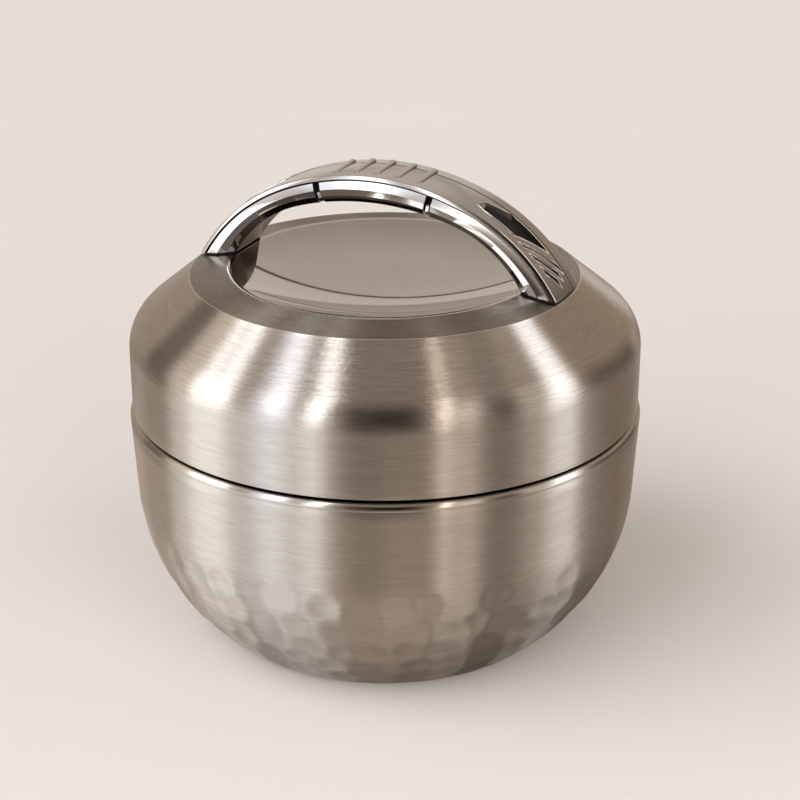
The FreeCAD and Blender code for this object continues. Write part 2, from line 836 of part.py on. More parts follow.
def draw_leg(body):
    start = "(notch_place + notch_width / 2)"
    sketch = new_sketch(body, "XZ_Plane")
    outline(
        sketch,
        (start, inner_crown_z(start)),
        (*inner_point("inner_turn"), INNER_CROWN, -1),
        (*inner_point("inner_turn * 4"), "inner_side", -1),
        seam_point("seam_turn * 3.2", "0"),
        (*seam_point("seam_turn", "0"), "seam_side", 1),
        (start, seam_crown_z(start, "0"), SEAM_CROWN, 1),
    )
    pad = body.newObject("PartDesign::Pad", body.Label + "_pad")
    pad.Profile = sketch
    pad.setExpression("Length", formula("handle_width"))
    pad.Midplane = True


def drill_leg(body):
    """Two blind screw holes up into the foot."""
    sketch = new_sketch(body, "XY_Plane")
    places = [(SCREW_R, f"{end} * screw_spacing / 2") for end in (1, -1)]
    circles(sketch, places, "screw_radius + pin_fit")
    hole = body.newObject("PartDesign::Pocket", body.Label + "_holes")
    hole.Profile = sketch
    hole.setExpression("Length", formula(f"{SCREW_TOP} + pin_fit"))
    hole.Reversed = True


def make_handle_grip():
    """Middle of the arch, between the two notches."""
    end = "(notch_place - notch_width / 2)"
    padded(
        "handle_grip", "handle_width",
        (f"-{end}", inner_crown_z(end)),
        (end, inner_crown_z(end), INNER_CROWN, -1),
        (end, seam_crown_z(end, "0")),
        (f"-{end}", seam_crown_z(end, "0"), SEAM_CROWN, 1),
    )


def arch_band(label, width, low, high):
    """Curved strip that follows the seam from foot to foot."""
    turn = "(seam_turn * 3.2)"

    def side(point, sign):
        return f"{sign} * {point[0]}", point[1]

    low_foot, low_knee = seam_point(turn, low), seam_point("seam_turn", low)
    high_foot, high_knee = seam_point(turn, high), seam_point("seam_turn", high)
    return padded(
        label, width,
        side(high_foot, 1),
        (*side(high_knee, 1), f"seam_side + {high}", 1),
        (*side(high_knee, -1), f"{SEAM_CROWN} + {high}", 1),
        (*side(high_foot, -1), f"seam_side + {high}", 1),
        side(low_foot, -1),
        (*side(low_knee, -1), f"seam_side + {low}", -1),
        (*side(low_knee, 1), f"{SEAM_CROWN} + {low}", -1),
        (*side(low_foot, 1), f"seam_side + {low}", -1),
    )


def make_handle_core():
    """Black strip between arch and cover that also fills the notches."""
    narrow = "(handle_width - 2 * seam_recess)"
    body = arch_band("handle_core", narrow, "0", "seam")
    for side in (1, -1):
        near = f"({side} * (notch_place - notch_width / 2))"
        far = f"({side} * (notch_place + notch_width / 2))"
        sketch = new_sketch(body, "XZ_Plane")
        outline(
            sketch,
            (near, f"{inner_crown_z(near)} + notch_floor"),
            (far, f"{inner_crown_z(far)} + notch_floor"),
            (far, f"{seam_crown_z(far, '0')} + seam / 2"),
            (near, f"{seam_crown_z(near, '0')} + seam / 2"),
        )
        bridge = body.newObject("PartDesign::Pad", "handle_core_bridge")
        bridge.Profile = sketch
        bridge.setExpression("Length", formula(narrow))
        bridge.Midplane = True
    trim_to_lid(body, f"({FOOT_R} - seam_recess)")


def draw_slot(sketch, side):
    """Tapered slot, wide in the middle, that runs down towards the foot."""
    def place(along, aside):
        return f"{side} * ({along})", f"{side} * ({aside})"

    outline(
        sketch,
        place(SLOT_START, "-slot_width * 0.6"),
        place(f"{SLOT_START} + slot_width / 2", "-slot_width * 0.8"),
        place(f"{SLOT_END} - slot_taper", "-slot_width * 0.9"),
        place(SLOT_END, "slot_width * 0.45"),
        place(f"{SLOT_START} + slot_width * 1.25", "slot_width * 0.55"),
        place(f"{SLOT_START} + slot_width / 8", "slot_width * 0.1"),
    )


def draw_window(sketch, side, index):
    """Slit near the foot, side by side with the slot's slanted end."""
    middle = f"({SLOT_END} - slot_taper + window_pitch * {index + 1})"
    slope = "slot_taper / (slot_width * 1.35)"
    low = "(-window_edge)"
    high = f"(window_length - window_step * {index} - window_edge)"

    def place(along, aside):
        slant = f"({aside} + slot_width * 0.9) * {slope}"
        return f"{side} * ({middle} + {slant} + {along})", f"{side} * ({aside})"

    outline(
        sketch,
        place("-window_width / 2", low),
        place("window_width / 2", low),
        place("window_width / 2", high),
        place("-window_width / 2", high),
    )


def make_handle_cover():
    """Satin cover with grip ribs on top and slots that show the black core."""
    body = arch_band("handle_cover", "handle_width", "seam", "seam + handle_cover")
    crown_r = f"({SEAM_CROWN} + seam + handle_cover)"
    for index in range(int(value("rib_count"))):
        middle = f"(rib_pitch * ({index} - (rib_count - 1) / 2))"
        sketch = new_sketch(body, "XZ_Plane")
        near = f"({middle} - rib_width / 2)"
        far = f"({middle} + rib_width / 2)"
        low = "seam + handle_cover / 2"
        high = "seam + handle_cover + rib_height"
        outline(
            sketch,
            (near, seam_crown_z(near, low)),
            (far, seam_crown_z(far, low)),
            (far, seam_crown_z(far, high)),
            (near, seam_crown_z(near, high), f"{crown_r} + rib_height", 1),
        )
        rib = body.newObject("PartDesign::Pad", "handle_cover_rib")
        rib.Profile = sketch
        rib.setExpression("Length", formula("rib_length"))
        rib.Midplane = True
    trim_to_lid(body, FOOT_R)
    for side in (1, -1):
        cut_through(body, draw_slot, side)
        for index in range(3):
            cut_through(body, draw_window, side, index)


def footprint(sketch, near, far, width):
    """Everything outside a rectangle under one foot."""
    half = f"({width} / 2)"
    wide = "(crown_radius * 2)"
    outline(sketch, (f"-{wide}", f"-{wide}"), (wide, f"-{wide}"), (wide, wide),
            (f"-{wide}", wide))
    outline(sketch, (near, f"-{half}"), (far, f"-{half}"), (far, half), (near, half))


def under_foot(name, near, far, width, *corners):
    """Ring of the given section, cut down to one foot and drilled for its screws."""
    body = turned(name, *corners)
    cut_through(body, footprint, near, far, width)
    cut_through(body, circles, screw_places(), "screw_radius + pin_fit")
    half_turned(body, name)


def make_foot_pads():
    """Black pads between the feet and the lid."""
    near_r = f"({INNER_REACH} + seam_recess)"
    inside_r = f"({INNER_REACH} - foot_overhang)"
    far_r = f"({FOOT_R} + foot_inset / 2)"
    for name in ("foot_pad_right", "foot_pad_left"):
        under_foot(
            name, near_r, "(crown_radius * 1.5)", "handle_width",
            (inside_r, ledge(inside_r, "0")),
            (far_r, ledge(far_r, "0")),
            (far_r, ledge(far_r, "foot_pad")),
            (inside_r, ledge(inside_r, "foot_pad")),
        )


def make_backing_blocks():
    """Blocks under the lid's ledge that spread the pull of the screws."""
    for name in ("backing_block_right", "backing_block_left"):
        under_foot(
            name, BLOCK_IN, "(crown_radius * 1.5)", "block_width",
            (BLOCK_IN, SCREW_Z),
            (BLOCK_OUT, SCREW_Z),
            (BLOCK_OUT, ledge(BLOCK_OUT, "-skin / cos(ledge_slope)")),
            (BLOCK_IN, ledge(BLOCK_IN, "-skin / cos(ledge_slope)")),
        )


def make_handle_screws():
    """Four screws from inside the lid up into the feet."""
    solids = []
    for across, aside in screw_places():
        foot = FreeCAD.Vector(value(across), value(aside), value(SCREW_Z))
        shank = Part.makeCylinder(value("screw_radius"), value("screw_length"), foot)
        head = Part.makeCylinder(
            value("screw_head_radius"), value("screw_head_height"), foot,
            FreeCAD.Vector(0, 0, -1))
        solids.append(shank.fuse(head))
    screws = doc.addObject("Part::Feature", "handle_screws")
    screws.Label = "handle_screws"
    screws.Shape = Part.makeCompound(solids)


def check_document():
    """Stop if a feature failed or a piece isn't a sound solid."""
    doc.recompute()
    for item in doc.Objects:
        if "Invalid" in item.State or "Error" in item.State:
            raise RuntimeError(f"{item.Label} failed: {item.State}")
    pieces = [item for item in doc.Objects if item.TypeId == "PartDesign::Body"]
    pieces.append(doc.getObject("handle_screws"))
    for piece in pieces:
        if piece.Shape.isNull() or not piece.Shape.isValid() or not piece.Shape.Solids:
            raise RuntimeError(f"{piece.Label} is not a sound solid")
    return pieces


make_outer_bowl()
make_base_plate()
make_base_pad()
make_bowl_liner()
make_bowl_insulation()
make_rim_collar()
make_food_bowl()
make_bowl_cover()
make_cover_seal()
make_food_tray()
make_seal_plate()
make_lid_gasket()
make_swivel_bush()
make_lid_shell()
make_lock_ring()
make_lid_liner()
make_lid_insulation()
make_swivel_screw()
make_handle_legs()
make_handle_grip()
make_handle_core()
make_handle_cover()
make_foot_pads()
make_backing_blocks()
make_handle_screws()

os.makedirs("parts", exist_ok=True)
for piece in check_document():
    piece.Shape.exportStep(f"parts/{piece.Label}.step")
    box = piece.Shape.BoundBox
    print(f"{piece.Label}: {len(piece.Shape.Solids)} solid, {piece.Shape.Volume / 1000:.2f} cm3, "
          f"z {box.ZMin:.2f} to {box.ZMax:.2f}, x {box.XMin:.2f} to {box.XMax:.2f}")
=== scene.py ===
import math
import random

import bmesh
import bpy
import numpy as np
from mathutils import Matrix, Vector


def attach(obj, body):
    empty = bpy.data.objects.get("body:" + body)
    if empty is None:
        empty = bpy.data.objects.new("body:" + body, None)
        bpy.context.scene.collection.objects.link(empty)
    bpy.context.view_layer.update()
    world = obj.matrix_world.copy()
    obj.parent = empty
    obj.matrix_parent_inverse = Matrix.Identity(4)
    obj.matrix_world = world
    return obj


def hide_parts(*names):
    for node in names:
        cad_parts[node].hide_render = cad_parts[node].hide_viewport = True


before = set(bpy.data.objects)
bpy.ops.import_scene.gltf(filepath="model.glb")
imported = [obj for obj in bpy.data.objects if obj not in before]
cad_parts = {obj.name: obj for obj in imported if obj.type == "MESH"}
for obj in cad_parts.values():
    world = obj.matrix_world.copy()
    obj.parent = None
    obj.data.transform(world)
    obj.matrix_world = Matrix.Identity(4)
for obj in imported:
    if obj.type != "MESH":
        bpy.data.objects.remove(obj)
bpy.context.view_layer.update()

# Sizes in millimetres; objects are in metres
MM = 0.001
UP = Vector((0, 0, 1))
SKIN = 0.6
GAP = 0.3

# Bowl
BOWL_R = 100.0
LIP_Z = 91.0
LIP_ROUND = 2.5
LIP_ARC_Z = LIP_Z - LIP_ROUND
TAPER = 3.0
BELLY_Z = 58.0
BELLY_ARC = 78.0
BELLY_R = BOWL_R - (LIP_ARC_Z - BELLY_Z) * math.tan(math.radians(TAPER))
BELLY_CR = BELLY_R - BELLY_ARC * math.cos(math.radians(TAPER))
BELLY_CZ = BELLY_Z + BELLY_ARC * math.sin(math.radians(TAPER))
BASE_Z = 0.6
RECESS_R = 64.0
RECESS_Z = 2.6
LINER_R = 88.0
LINER_ARC = LINER_R - BELLY_CR
LINER_FLOOR = 12.0
NECK_TOP = 100.4
NECK_R = 91.2
VESSEL_ARC = LINER_ARC - 2.5
VESSEL_R = BELLY_CR + VESSEL_ARC
VESSEL_FLOOR = LINER_FLOOR + GAP
FOOD_BOWL_TOP = 65.0
RIM_R = VESSEL_R + 1.7

# Lid
LID_R = 99.0
HEM_Z = 92.2
HEM_WIDTH = 1.8
SHOULDER_Z = 116.0
SHOULDER_ARC = 16.0
CONE = 39.0
CROWN_R = 75.0
LEDGE = 8.0
LEDGE_SLOPE = math.tan(math.radians(LEDGE))
CREST_MID = 60.0
CREST_ROUND = 4.0
DISH = 22.0
SHOULDER_R = LID_R - SHOULDER_ARC
CONE_R = SHOULDER_R + SHOULDER_ARC * math.sin(math.radians(CONE))
CONE_Z = SHOULDER_Z + SHOULDER_ARC * math.cos(math.radians(CONE))
CROWN_Z = CONE_Z + (CONE_R - CROWN_R) * math.tan(math.radians(CONE))
CREST_R = CREST_MID + CREST_ROUND * math.sin(math.radians(LEDGE))
CREST_Z = CROWN_Z + (CROWN_R - CREST_R) * LEDGE_SLOPE
CREST_ARC_Z = CREST_Z - CREST_ROUND * math.cos(math.radians(LEDGE))
DISH_R = CREST_MID - CREST_ROUND * math.sin(math.radians(DISH))
DISH_Z = CREST_ARC_Z + CREST_ROUND * math.cos(math.radians(DISH))
DISH_ARC = DISH_R / math.sin(math.radians(DISH))
DISH_CZ = DISH_Z + DISH_ARC * math.cos(math.radians(DISH))

# Handle
ARCH_TOP = CREST_ARC_Z + CREST_ROUND + 27.3
SEAM_TOP = ARCH_TOP + 8.6
INNER_CROWN, INNER_KNEE, INNER_SIDE = 105.0, 17.8, 48.0
SEAM_CROWN, SEAM_KNEE, SEAM_SIDE = 95.4, 24.2, 72.0
SEAM = 0.5
COVER = 2.0
HALF_WIDTH = 12.7
FOOT_R = CROWN_R - 0.6
FOOT_PAD = 0.7
NOTCH_IN, NOTCH_OUT = 22.0, 24.6
RIB_PITCH = 8.3
SLOT_END = FOOT_R - 9.4
SLOT_START = SLOT_END - 25.6
SLOT_WIDTH = 8.0
SLOT_TAPER = 10.0
# Slits: pitch and half width, then their ends and how much shorter each next one is
SLIT_PITCH, SLIT_HALF = 4.3, 1.1
SLIT_LOW, SLIT_HIGH, SLIT_STEP = -8.5, 4.0, 3.5
END_TURN = 76
SIDES = (1, "right"), (-1, "left")
# Parts of the lower arch's depth where its lower facet (painted darker on the left leg) and its
# band of painted dark reflection start
LOWER_FACET, PAINTED_DARK_BAND = 0.38, 0.69
# Fine groove along the back of the cover, painted black as painted shade: its edges, its floor
# and its depth
GROOVE, GROOVE_FLOOR, GROOVE_DEPTH = (5.1, 5.8), (5.25, 5.65), 0.4

SEGMENTS = 288
CUTTER_SEGMENTS = 256
CUT_LOW, CUT_HIGH, CUT_R = 90.0, 220.0, 150.0
ON_AXIS = 1e-6


# Mesh building


def sweep(centre_r, centre_z, radius, start, end, steps=12):
    """Points of an arc in the radius-height plane, angles from +radius in degrees."""
    angles = np.radians(np.linspace(start, end, steps + 1))
    return [(centre_r + radius * math.cos(a), centre_z + radius * math.sin(a)) for a in angles]


def straight(start, end, steps):
    """Points from start towards end, without end."""
    return [tuple(np.array(start) + (np.array(end) - np.array(start)) * i / steps)
            for i in range(steps)]


def softened(corners, size=0.35, steps=3):
    """Closed outline with every corner rounded off, for small lathe pieces."""
    result = []
    count = len(corners)
    for index, corner in enumerate(corners):
        here = np.array(corner, float)
        before = np.array(corners[index - 1], float) - here
        after = np.array(corners[(index + 1) % count], float) - here
        if corner[0] < ON_AXIS:
            result.append(tuple(here))
            continue
        reach = min(size, np.linalg.norm(before) * 0.45, np.linalg.norm(after) * 0.45)
        a = here + before / np.linalg.norm(before) * reach
        b = here + after / np.linalg.norm(after) * reach
        for step in range(steps + 1):
            t = step / steps
            result.append(tuple((1 - t) ** 2 * a + 2 * t * (1 - t) * here + t ** 2 * b))
    return result


def set_smooth(mesh, smooth):
    """Smooth shading, with edges kept sharp from an angle in degrees."""
    mesh.shade_smooth()
    mesh.set_sharp_from_angle(angle=math.radians(smooth))


def turning_point(too_small, low, high):
    """Where too_small(value) stops being true between low and high, by halving."""
    for _ in range(40):
        middle = (low + high) / 2
        if too_small(middle):
            low = middle
        else:
            high = middle
    return low


def new_object(name, vertices, faces, body, smooth=35.0):
    mesh = bpy.data.meshes.new(name)
    mesh.from_pydata([tuple(v) for v in vertices], [], faces)
    solid = bmesh.new()
    solid.from_mesh(mesh)
    bmesh.ops.recalc_face_normals(solid, faces=solid.faces)
    solid.to_mesh(mesh)
    solid.free()
    set_smooth(mesh, smooth)
    piece = bpy.data.objects.new(name, mesh)
    bpy.context.scene.collection.objects.link(piece)
    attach(piece, body)
    return piece


def lathe(name, outline, body, segments=SEGMENTS, lift=None, smooth=35.0):
    """Turn a closed outline about Z. lift gives a ring's shift outwards and upwards."""
    points = np.array(outline)
    angles = np.linspace(0, 2 * math.pi, segments, endpoint=False)
    vertices, first, rings = [], [], []
    for radius, height in points:
        first.append(len(vertices))
        ring = radius > ON_AXIS
        rings.append(ring)
        if not ring:
            vertices.append((0, 0, height * MM))
            continue
        out = np.full(segments, radius)
        up = np.full(segments, height)
        if lift:
            outwards, upwards = lift(radius, height, angles)
            out = out + outwards
            up = up + upwards
        vertices.extend(zip(out * np.cos(angles) * MM, out * np.sin(angles) * MM, up * MM))
    faces = []
    count = len(points)
    for a in range(count):
        b = (a + 1) % count
        if not rings[a] and not rings[b]:
            continue
        for j in range(segments):
            k = (j + 1) % segments
            corners = []
            corners += [first[a] + j, first[a] + k] if rings[a] else [first[a]]
            corners += [first[b] + k, first[b] + j] if rings[b] else [first[b]]
            faces.append(corners)
    return new_object(name, vertices, faces, body, smooth)


def tube_faces(count, around, closed):
    """Quads between loops of so many points, open or closed into a ring."""
    faces = []
    for a in range(count if closed else count - 1):
        b = (a + 1) % count
        for i in range(around):
            k = (i + 1) % around
            faces.append([a * around + i, a * around + k, b * around + k, b * around + i])
    return faces


def loft(name, sections, body, smooth=30.0):
    """Capped tube through sections, each a loop of as many points."""
    count, around = len(sections), len(sections[0])
    vertices = [tuple(np.array(p) * MM) for loop in sections for p in loop]
    caps = [list(range(around))[::-1], [(count - 1) * around + i for i in range(around)]]
    return new_object(name, vertices, caps + tube_faces(count, around, False), body, smooth)


def cut(piece, cutters, smooth=30.0):
    """Take cutters out of a piece for good."""
    for cutter in cutters:
        modifier = piece.modifiers.new("cut", "BOOLEAN")
        modifier.operation = "DIFFERENCE"
        modifier.solver = "EXACT"
        modifier.object = cutter
    bpy.context.view_layer.update()
    mesh = bpy.data.meshes.new_from_object(
        piece.evaluated_get(bpy.context.evaluated_depsgraph_get()))
    piece.modifiers.clear()
    piece.data = mesh
    for cutter in cutters:
        bpy.data.objects.remove(cutter)
    set_smooth(mesh, smooth)


def soften_edges(piece, name, width, angle=None):
    """Small bevel, width in mm. Without an angle in degrees, Blender's own limit stays."""
    bevel = piece.modifiers.new(name, "BEVEL")
    bevel.width = width * MM
    bevel.segments = 2
    if angle is not None:
        bevel.limit_method = "ANGLE"
        bevel.angle_limit = math.radians(angle)


# Materials

# Sockets of the colour mix node
MIX_FACTOR, MIX_FIRST, MIX_SECOND, MIX_RESULT = 0, 6, 7, 2
# How dark patina and smears are against the metal round them
PATINA, SMEAR = 0.86, 0.93


def nodes_of(name):
    material = bpy.data.materials.new(name)
    material.use_nodes = True
    tree = material.node_tree
    return material, tree, tree.nodes["Principled BSDF"]


def feed(tree, node, values):
    """Link a node's inputs to sockets, or set them to plain values."""
    for name, value in values.items():
        if isinstance(value, bpy.types.NodeSocket):
            tree.links.new(value, node.inputs[name])
        else:
            node.inputs[name].default_value = value


def math_node(tree, operation, *values):
    node = tree.nodes.new("ShaderNodeMath")
    node.operation = operation
    feed(tree, node, dict(enumerate(values)))
    return node.outputs[0]


def vector_math(tree, operation, *values):
    node = tree.nodes.new("ShaderNodeVectorMath")
    node.operation = operation
    feed(tree, node, dict(enumerate(values)))
    return node.outputs["Value" if operation == "DOT_PRODUCT" else "Vector"]


def ramp(tree, value, *stops):
    """Colour ramp; a stop is (place, grey or colour)."""
    node = tree.nodes.new("ShaderNodeValToRGB")
    band = node.color_ramp
    while len(band.elements) < len(stops):
        band.elements.new(0.5)
    for element, (place, colour) in zip(band.elements, stops):
        element.position = place
        shade = (colour,) * 3 if isinstance(colour, (int, float)) else colour
        element.color = (*shade, 1)
    feed(tree, node, {0: value})
    return node.outputs[0]


def noise(tree, vector, scale, detail=3.0, roughness=0.5, w=None):
    node = tree.nodes.new("ShaderNodeTexNoise")
    values = {"Scale": scale, "Detail": detail, "Roughness": roughness, "Vector": vector}
    if w is not None:
        node.noise_dimensions = "4D"
        values["W"] = w
    feed(tree, node, values)
    return node.outputs["Fac"]


def object_space(tree):
    return tree.nodes.new("ShaderNodeTexCoord").outputs["Object"]


def object_axes(tree):
    """X, Y and Z of a point in object space."""
    split = tree.nodes.new("ShaderNodeSeparateXYZ")
    feed(tree, split, {0: object_space(tree)})
    return split.outputs


def bump(tree, height, strength, distance):
    node = tree.nodes.new("ShaderNodeBump")
    feed(tree, node, {"Strength": strength, "Distance": distance, "Height": height})
    return node.outputs["Normal"]


def turned_lines(tree, fineness, cells):
    """Noise in fine lines round the Z axis; cells is how many lines fit in a radian."""
    x, y, z = object_axes(tree)
    square = math_node(tree, "ADD", math_node(tree, "MULTIPLY", x, x),
                       math_node(tree, "MULTIPLY", y, y))
    radius = math_node(tree, "MAXIMUM", math_node(tree, "SQRT", square), 1e-5)
    around = [math_node(tree, "MULTIPLY", math_node(tree, "DIVIDE", axis, radius),
                        cells / fineness) for axis in (x, y)]
    join = tree.nodes.new("ShaderNodeCombineXYZ")
    feed(tree, join, dict(enumerate((*around, radius))))
    return noise(tree, join.outputs[0], fineness, 3.0, 0.6, z)


def mixed(tree, factor, first, second):
    node = tree.nodes.new("ShaderNodeMix")
    node.data_type = "RGBA"
    first, second = ((*c, 1) if isinstance(c, tuple) else c for c in (first, second))
    feed(tree, node, {MIX_FACTOR: factor, MIX_FIRST: first, MIX_SECOND: second})
    return node.outputs[MIX_RESULT]


def brushed(name, dark, light, rough_low, rough_high, aniso, relief, fineness=2400.0,
            cells=8.0, smudge=0.03, gloss=((0.0, 1.0), (1.0, 1.0))):
    """Steel brushed round the Z axis: fine lines in colour, gloss and relief.

    gloss tells by height in metres how much of its roughness the steel has.
    """
    material, tree, shader = nodes_of(name)
    lines = turned_lines(tree, fineness, cells)
    broad = turned_lines(tree, fineness / 5, cells / 2)
    both = math_node(tree, "ADD", math_node(tree, "MULTIPLY", lines, 0.65),
                     math_node(tree, "MULTIPLY", broad, 0.35))
    grain = ramp(tree, both, (0.36, 0.0), (0.64, 1.0))
    cloud = noise(tree, object_space(tree), 28.0, 3.0)
    colour = mixed(tree, grain, dark, light)
    patina = mixed(tree, math_node(tree, "MULTIPLY", ramp(tree, cloud, (0.4, 0.0), (0.7, 1.0)),
                                   smudge * 4), colour, tuple(c * PATINA for c in dark))
    spread = math_node(tree, "MULTIPLY_ADD", both, rough_high - rough_low, rough_low)
    uneven = math_node(tree, "MULTIPLY_ADD", cloud, smudge, spread)
    uneven = math_node(tree, "MULTIPLY", uneven, ramp(tree, object_axes(tree)[2], *gloss))
    tangent = tree.nodes.new("ShaderNodeTangent")
    tangent.direction_type = "RADIAL"
    tangent.axis = "Z"
    feed(tree, shader, {
        "Base Color": patina, "Roughness": uneven, "Metallic": 1.0, "Anisotropic": aniso,
        "Anisotropic Rotation": 0.25, "Tangent": tangent.outputs[0],
        "Normal": bump(tree, lines, relief, 0.0002)})
    return material


def polished(name, colour, rough, smudge=0.03, relief=0.02):
    """Polished metal with faint smears and hair scratches."""
    material, tree, shader = nodes_of(name)
    place = object_space(tree)
    smear = noise(tree, place, 45.0, 4.0, 0.6)
    fine = noise(tree, place, 900.0, 2.0)
    shade = mixed(tree, ramp(tree, smear, (0.35, 0.0), (0.75, 1.0)), colour,
                  tuple(c * SMEAR for c in colour))
    feed(tree, shader, {
        "Base Color": shade, "Metallic": 1.0,
        "Roughness": math_node(tree, "MULTIPLY_ADD", smear, smudge * 2, rough - smudge),
        "Normal": bump(tree, fine, relief, 0.0001)})
    return material


def moulded(name, colour, rough, grain=1500.0, relief=0.15, sheen=0.0, through=0.0,
            gloss=0.5):
    """Plastic, rubber or silicone with a fine moulded texture."""
    material, tree, shader = nodes_of(name)
    place = object_space(tree)
    speck = noise(tree, place, grain, 3.0)
    cloud = noise(tree, place, 40.0, 3.0)
    tint = mixed(tree, ramp(tree, cloud, (0.3, 0.0), (0.7, 1.0)), colour,
                 tuple(min(1.0, c * 1.18 + 0.004) for c in colour))
    feed(tree, shader, {
        "Base Color": tint, "Sheen Weight": sheen, "Specular IOR Level": gloss,
        "Transmission Weight": through,
        "Roughness": math_node(tree, "MULTIPLY_ADD", speck, 0.2, rough - 0.1),
        "Normal": bump(tree, speck, relief, 0.0002)})
    return material


def foam(name, colour):
    """Rigid foam: small closed cells."""
    material, tree, shader = nodes_of(name)
    cells = tree.nodes.new("ShaderNodeTexVoronoi")
    feed(tree, cells, {"Scale": 700.0, "Vector": object_space(tree)})
    wall = cells.outputs["Distance"]
    feed(tree, shader, {
        "Base Color": mixed(tree, wall, tuple(c * 0.8 for c in colour), colour),
        "Roughness": 0.9, "Normal": bump(tree, wall, 0.4, 0.0005)})
    return material


STEEL_WALL = brushed("brushed_steel_wall", (0.55, 0.505, 0.465), (0.71, 0.67, 0.63),
                     rough_low=0.26, rough_high=0.33, aniso=1.0, relief=0.15,
                     fineness=3600.0, cells=14.0, gloss=((0.114, 1.0), (0.127, 0.62)))
# Turned steel of the ledge, its colour painted darker than the wall's as painted reflection of
# the handle's dark underside
STEEL_LEDGE_PAINTED_DARK = brushed("turned_steel_ledge_painted_dark", (0.28, 0.24, 0.2), (0.42, 0.37, 0.32),
                      rough_low=0.3, rough_high=0.42, aniso=1.0, relief=0.1,
                      fineness=3000.0, cells=18.0)
STEEL_DISH = polished("polished_steel_dish", (0.595, 0.555, 0.515), 0.05, 0.015)
STEEL_BEAD = polished("polished_steel_bead", (0.66, 0.62, 0.575), 0.13)
STEEL_INSIDE = brushed("spun_steel_inside", (0.52, 0.5, 0.48), (0.7, 0.68, 0.66),
                       rough_low=0.22, rough_high=0.34, aniso=0.75, relief=0.12,
                       fineness=2200.0, cells=12.0)
CHROME = polished("handle_chrome", (0.84, 0.845, 0.86), 0.06, 0.015)
# Chrome painted darker: painted reflection of darker surroundings on the handle's lower facets
# and under its arch
CHROME_PAINTED_REFLECTION = polished("handle_chrome_painted_reflection", (0.4, 0.415, 0.44), 0.12, 0.03)
CHROME_PAINTED_DARK_REFLECTION = polished("handle_chrome_painted_dark_reflection", (0.2, 0.19, 0.18), 0.12, 0.03)
SATIN = polished("handle_satin", (0.67, 0.645, 0.62), 0.15, 0.03, 0.04)
# Black plastic, also painted into the cover's groove as painted shade
BLACK_AND_PAINTED_SHADE = moulded("black_plastic", (0.009, 0.008, 0.008), 0.5, gloss=0.1)
RUBBER = moulded("black_rubber", (0.01, 0.009, 0.009), 0.6, 1100.0, 0.25, gloss=0.1)
PALE = moulded("pale_plastic", (0.74, 0.73, 0.7), 0.42)
SILICONE = moulded("clear_silicone", (0.78, 0.77, 0.73), 0.35, 900.0, 0.08, 0.2, 0.25)
FOAM = foam("rigid_foam", (0.8, 0.73, 0.5))


def dress(piece, slot, *materials):
    """Give a piece its materials. slot is not used."""
    for material in materials:
        piece.data.materials.append(material)


def paint(piece, choose):
    """Choose a material for each face from the radius and height of its middle, in mm."""
    for face in piece.data.polygons:
        middle = face.center / MM
        face.material_index = choose(math.hypot(middle.x, middle.y), middle.z)


# Bowl


def belly(radius_off, start_z, end_z, steps):
    """Points of the belly's arc, moved in by radius_off, between two heights."""
    arc = BELLY_ARC - radius_off
    start = math.degrees(math.asin((start_z - BELLY_CZ) / arc))
    end = math.degrees(math.asin((end_z - BELLY_CZ) / arc))
    return sweep(BELLY_CR, BELLY_CZ, arc, start, end, steps)


DIMPLE_SEED = 12
DIMPLE_LOW = 8.0
DIMPLE_HIGH = 47.0
DIMPLE_SPACE = 13.5
DIMPLE_SHIFT = 0.24, 2.4
DIMPLE_SIZE = 6.9, 9.3
DIMPLE_DEPTH = 0.30, 0.64
DIMPLE_MISSING = 0.35
DIMPLE_DEEPEST = 0.82
DIMPLE_INSIDE = 0.3


def hammer_marks():
    """Angle, arc place, size and depth of each soft dent round the belly."""
    dice = random.Random(DIMPLE_SEED)
    aside, along = DIMPLE_SHIFT
    low = math.asin((DIMPLE_LOW - BELLY_CZ) / BELLY_ARC)
    high = math.asin((DIMPLE_HIGH - BELLY_CZ) / BELLY_ARC)
    rows = round((high - low) * BELLY_ARC / (DIMPLE_SPACE * 0.8))
    marks = []
    for row in range(rows + 1):
        arc_place = low + (high - low) * row / rows
        radius = BELLY_CR + BELLY_ARC * math.cos(arc_place)
        number = round(2 * math.pi * radius / DIMPLE_SPACE)
        for index in range(number):
            place = index + 0.5 * (row % 2) + dice.uniform(-aside, aside)
            turn = 2 * math.pi * place / number
            climb = arc_place * BELLY_ARC + dice.uniform(-along, along)
            size = dice.uniform(*DIMPLE_SIZE)
            depth = dice.uniform(*DIMPLE_DEPTH)
            if row == rows and dice.random() < DIMPLE_MISSING:
                depth = 0.0
            marks.append((turn, climb, size, depth))
    return np.array(marks)


MARKS = hammer_marks()


def hammered(radius, height, angles):
    """Dents pushed into the outside of the belly, and less so into its inside."""
    if height > DIMPLE_HIGH + 10 or height < BASE_Z + 0.2:
        return 0.0, 0.0
    lean = math.asin(max(-1.0, min(1.0, (height - BELLY_CZ) / BELLY_ARC)))
    inset = BELLY_ARC - math.hypot(radius - BELLY_CR, height - BELLY_CZ)
    if abs(inset) > 0.2 and abs(inset - SKIN) > 0.05:
        return 0.0, 0.0
    share = 1.0 if abs(inset) < 0.2 else DIMPLE_INSIDE
    climb = lean * BELLY_ARC
    depth = np.zeros_like(angles)
    for turn, place, size, deep in MARKS:
        if abs(place - climb) > size:
            continue
        aside = (angles - turn + math.pi) % (2 * math.pi) - math.pi
        distance = np.sqrt((aside * radius) ** 2 + (place - climb) ** 2) / size
        depth += np.where(distance < 1, deep * (1 - distance ** 2) ** 2, 0.0)
    depth = DIMPLE_DEEPEST * np.tanh(depth / DIMPLE_DEEPEST) * share
    return -depth * math.cos(lean), -depth * math.sin(lean)


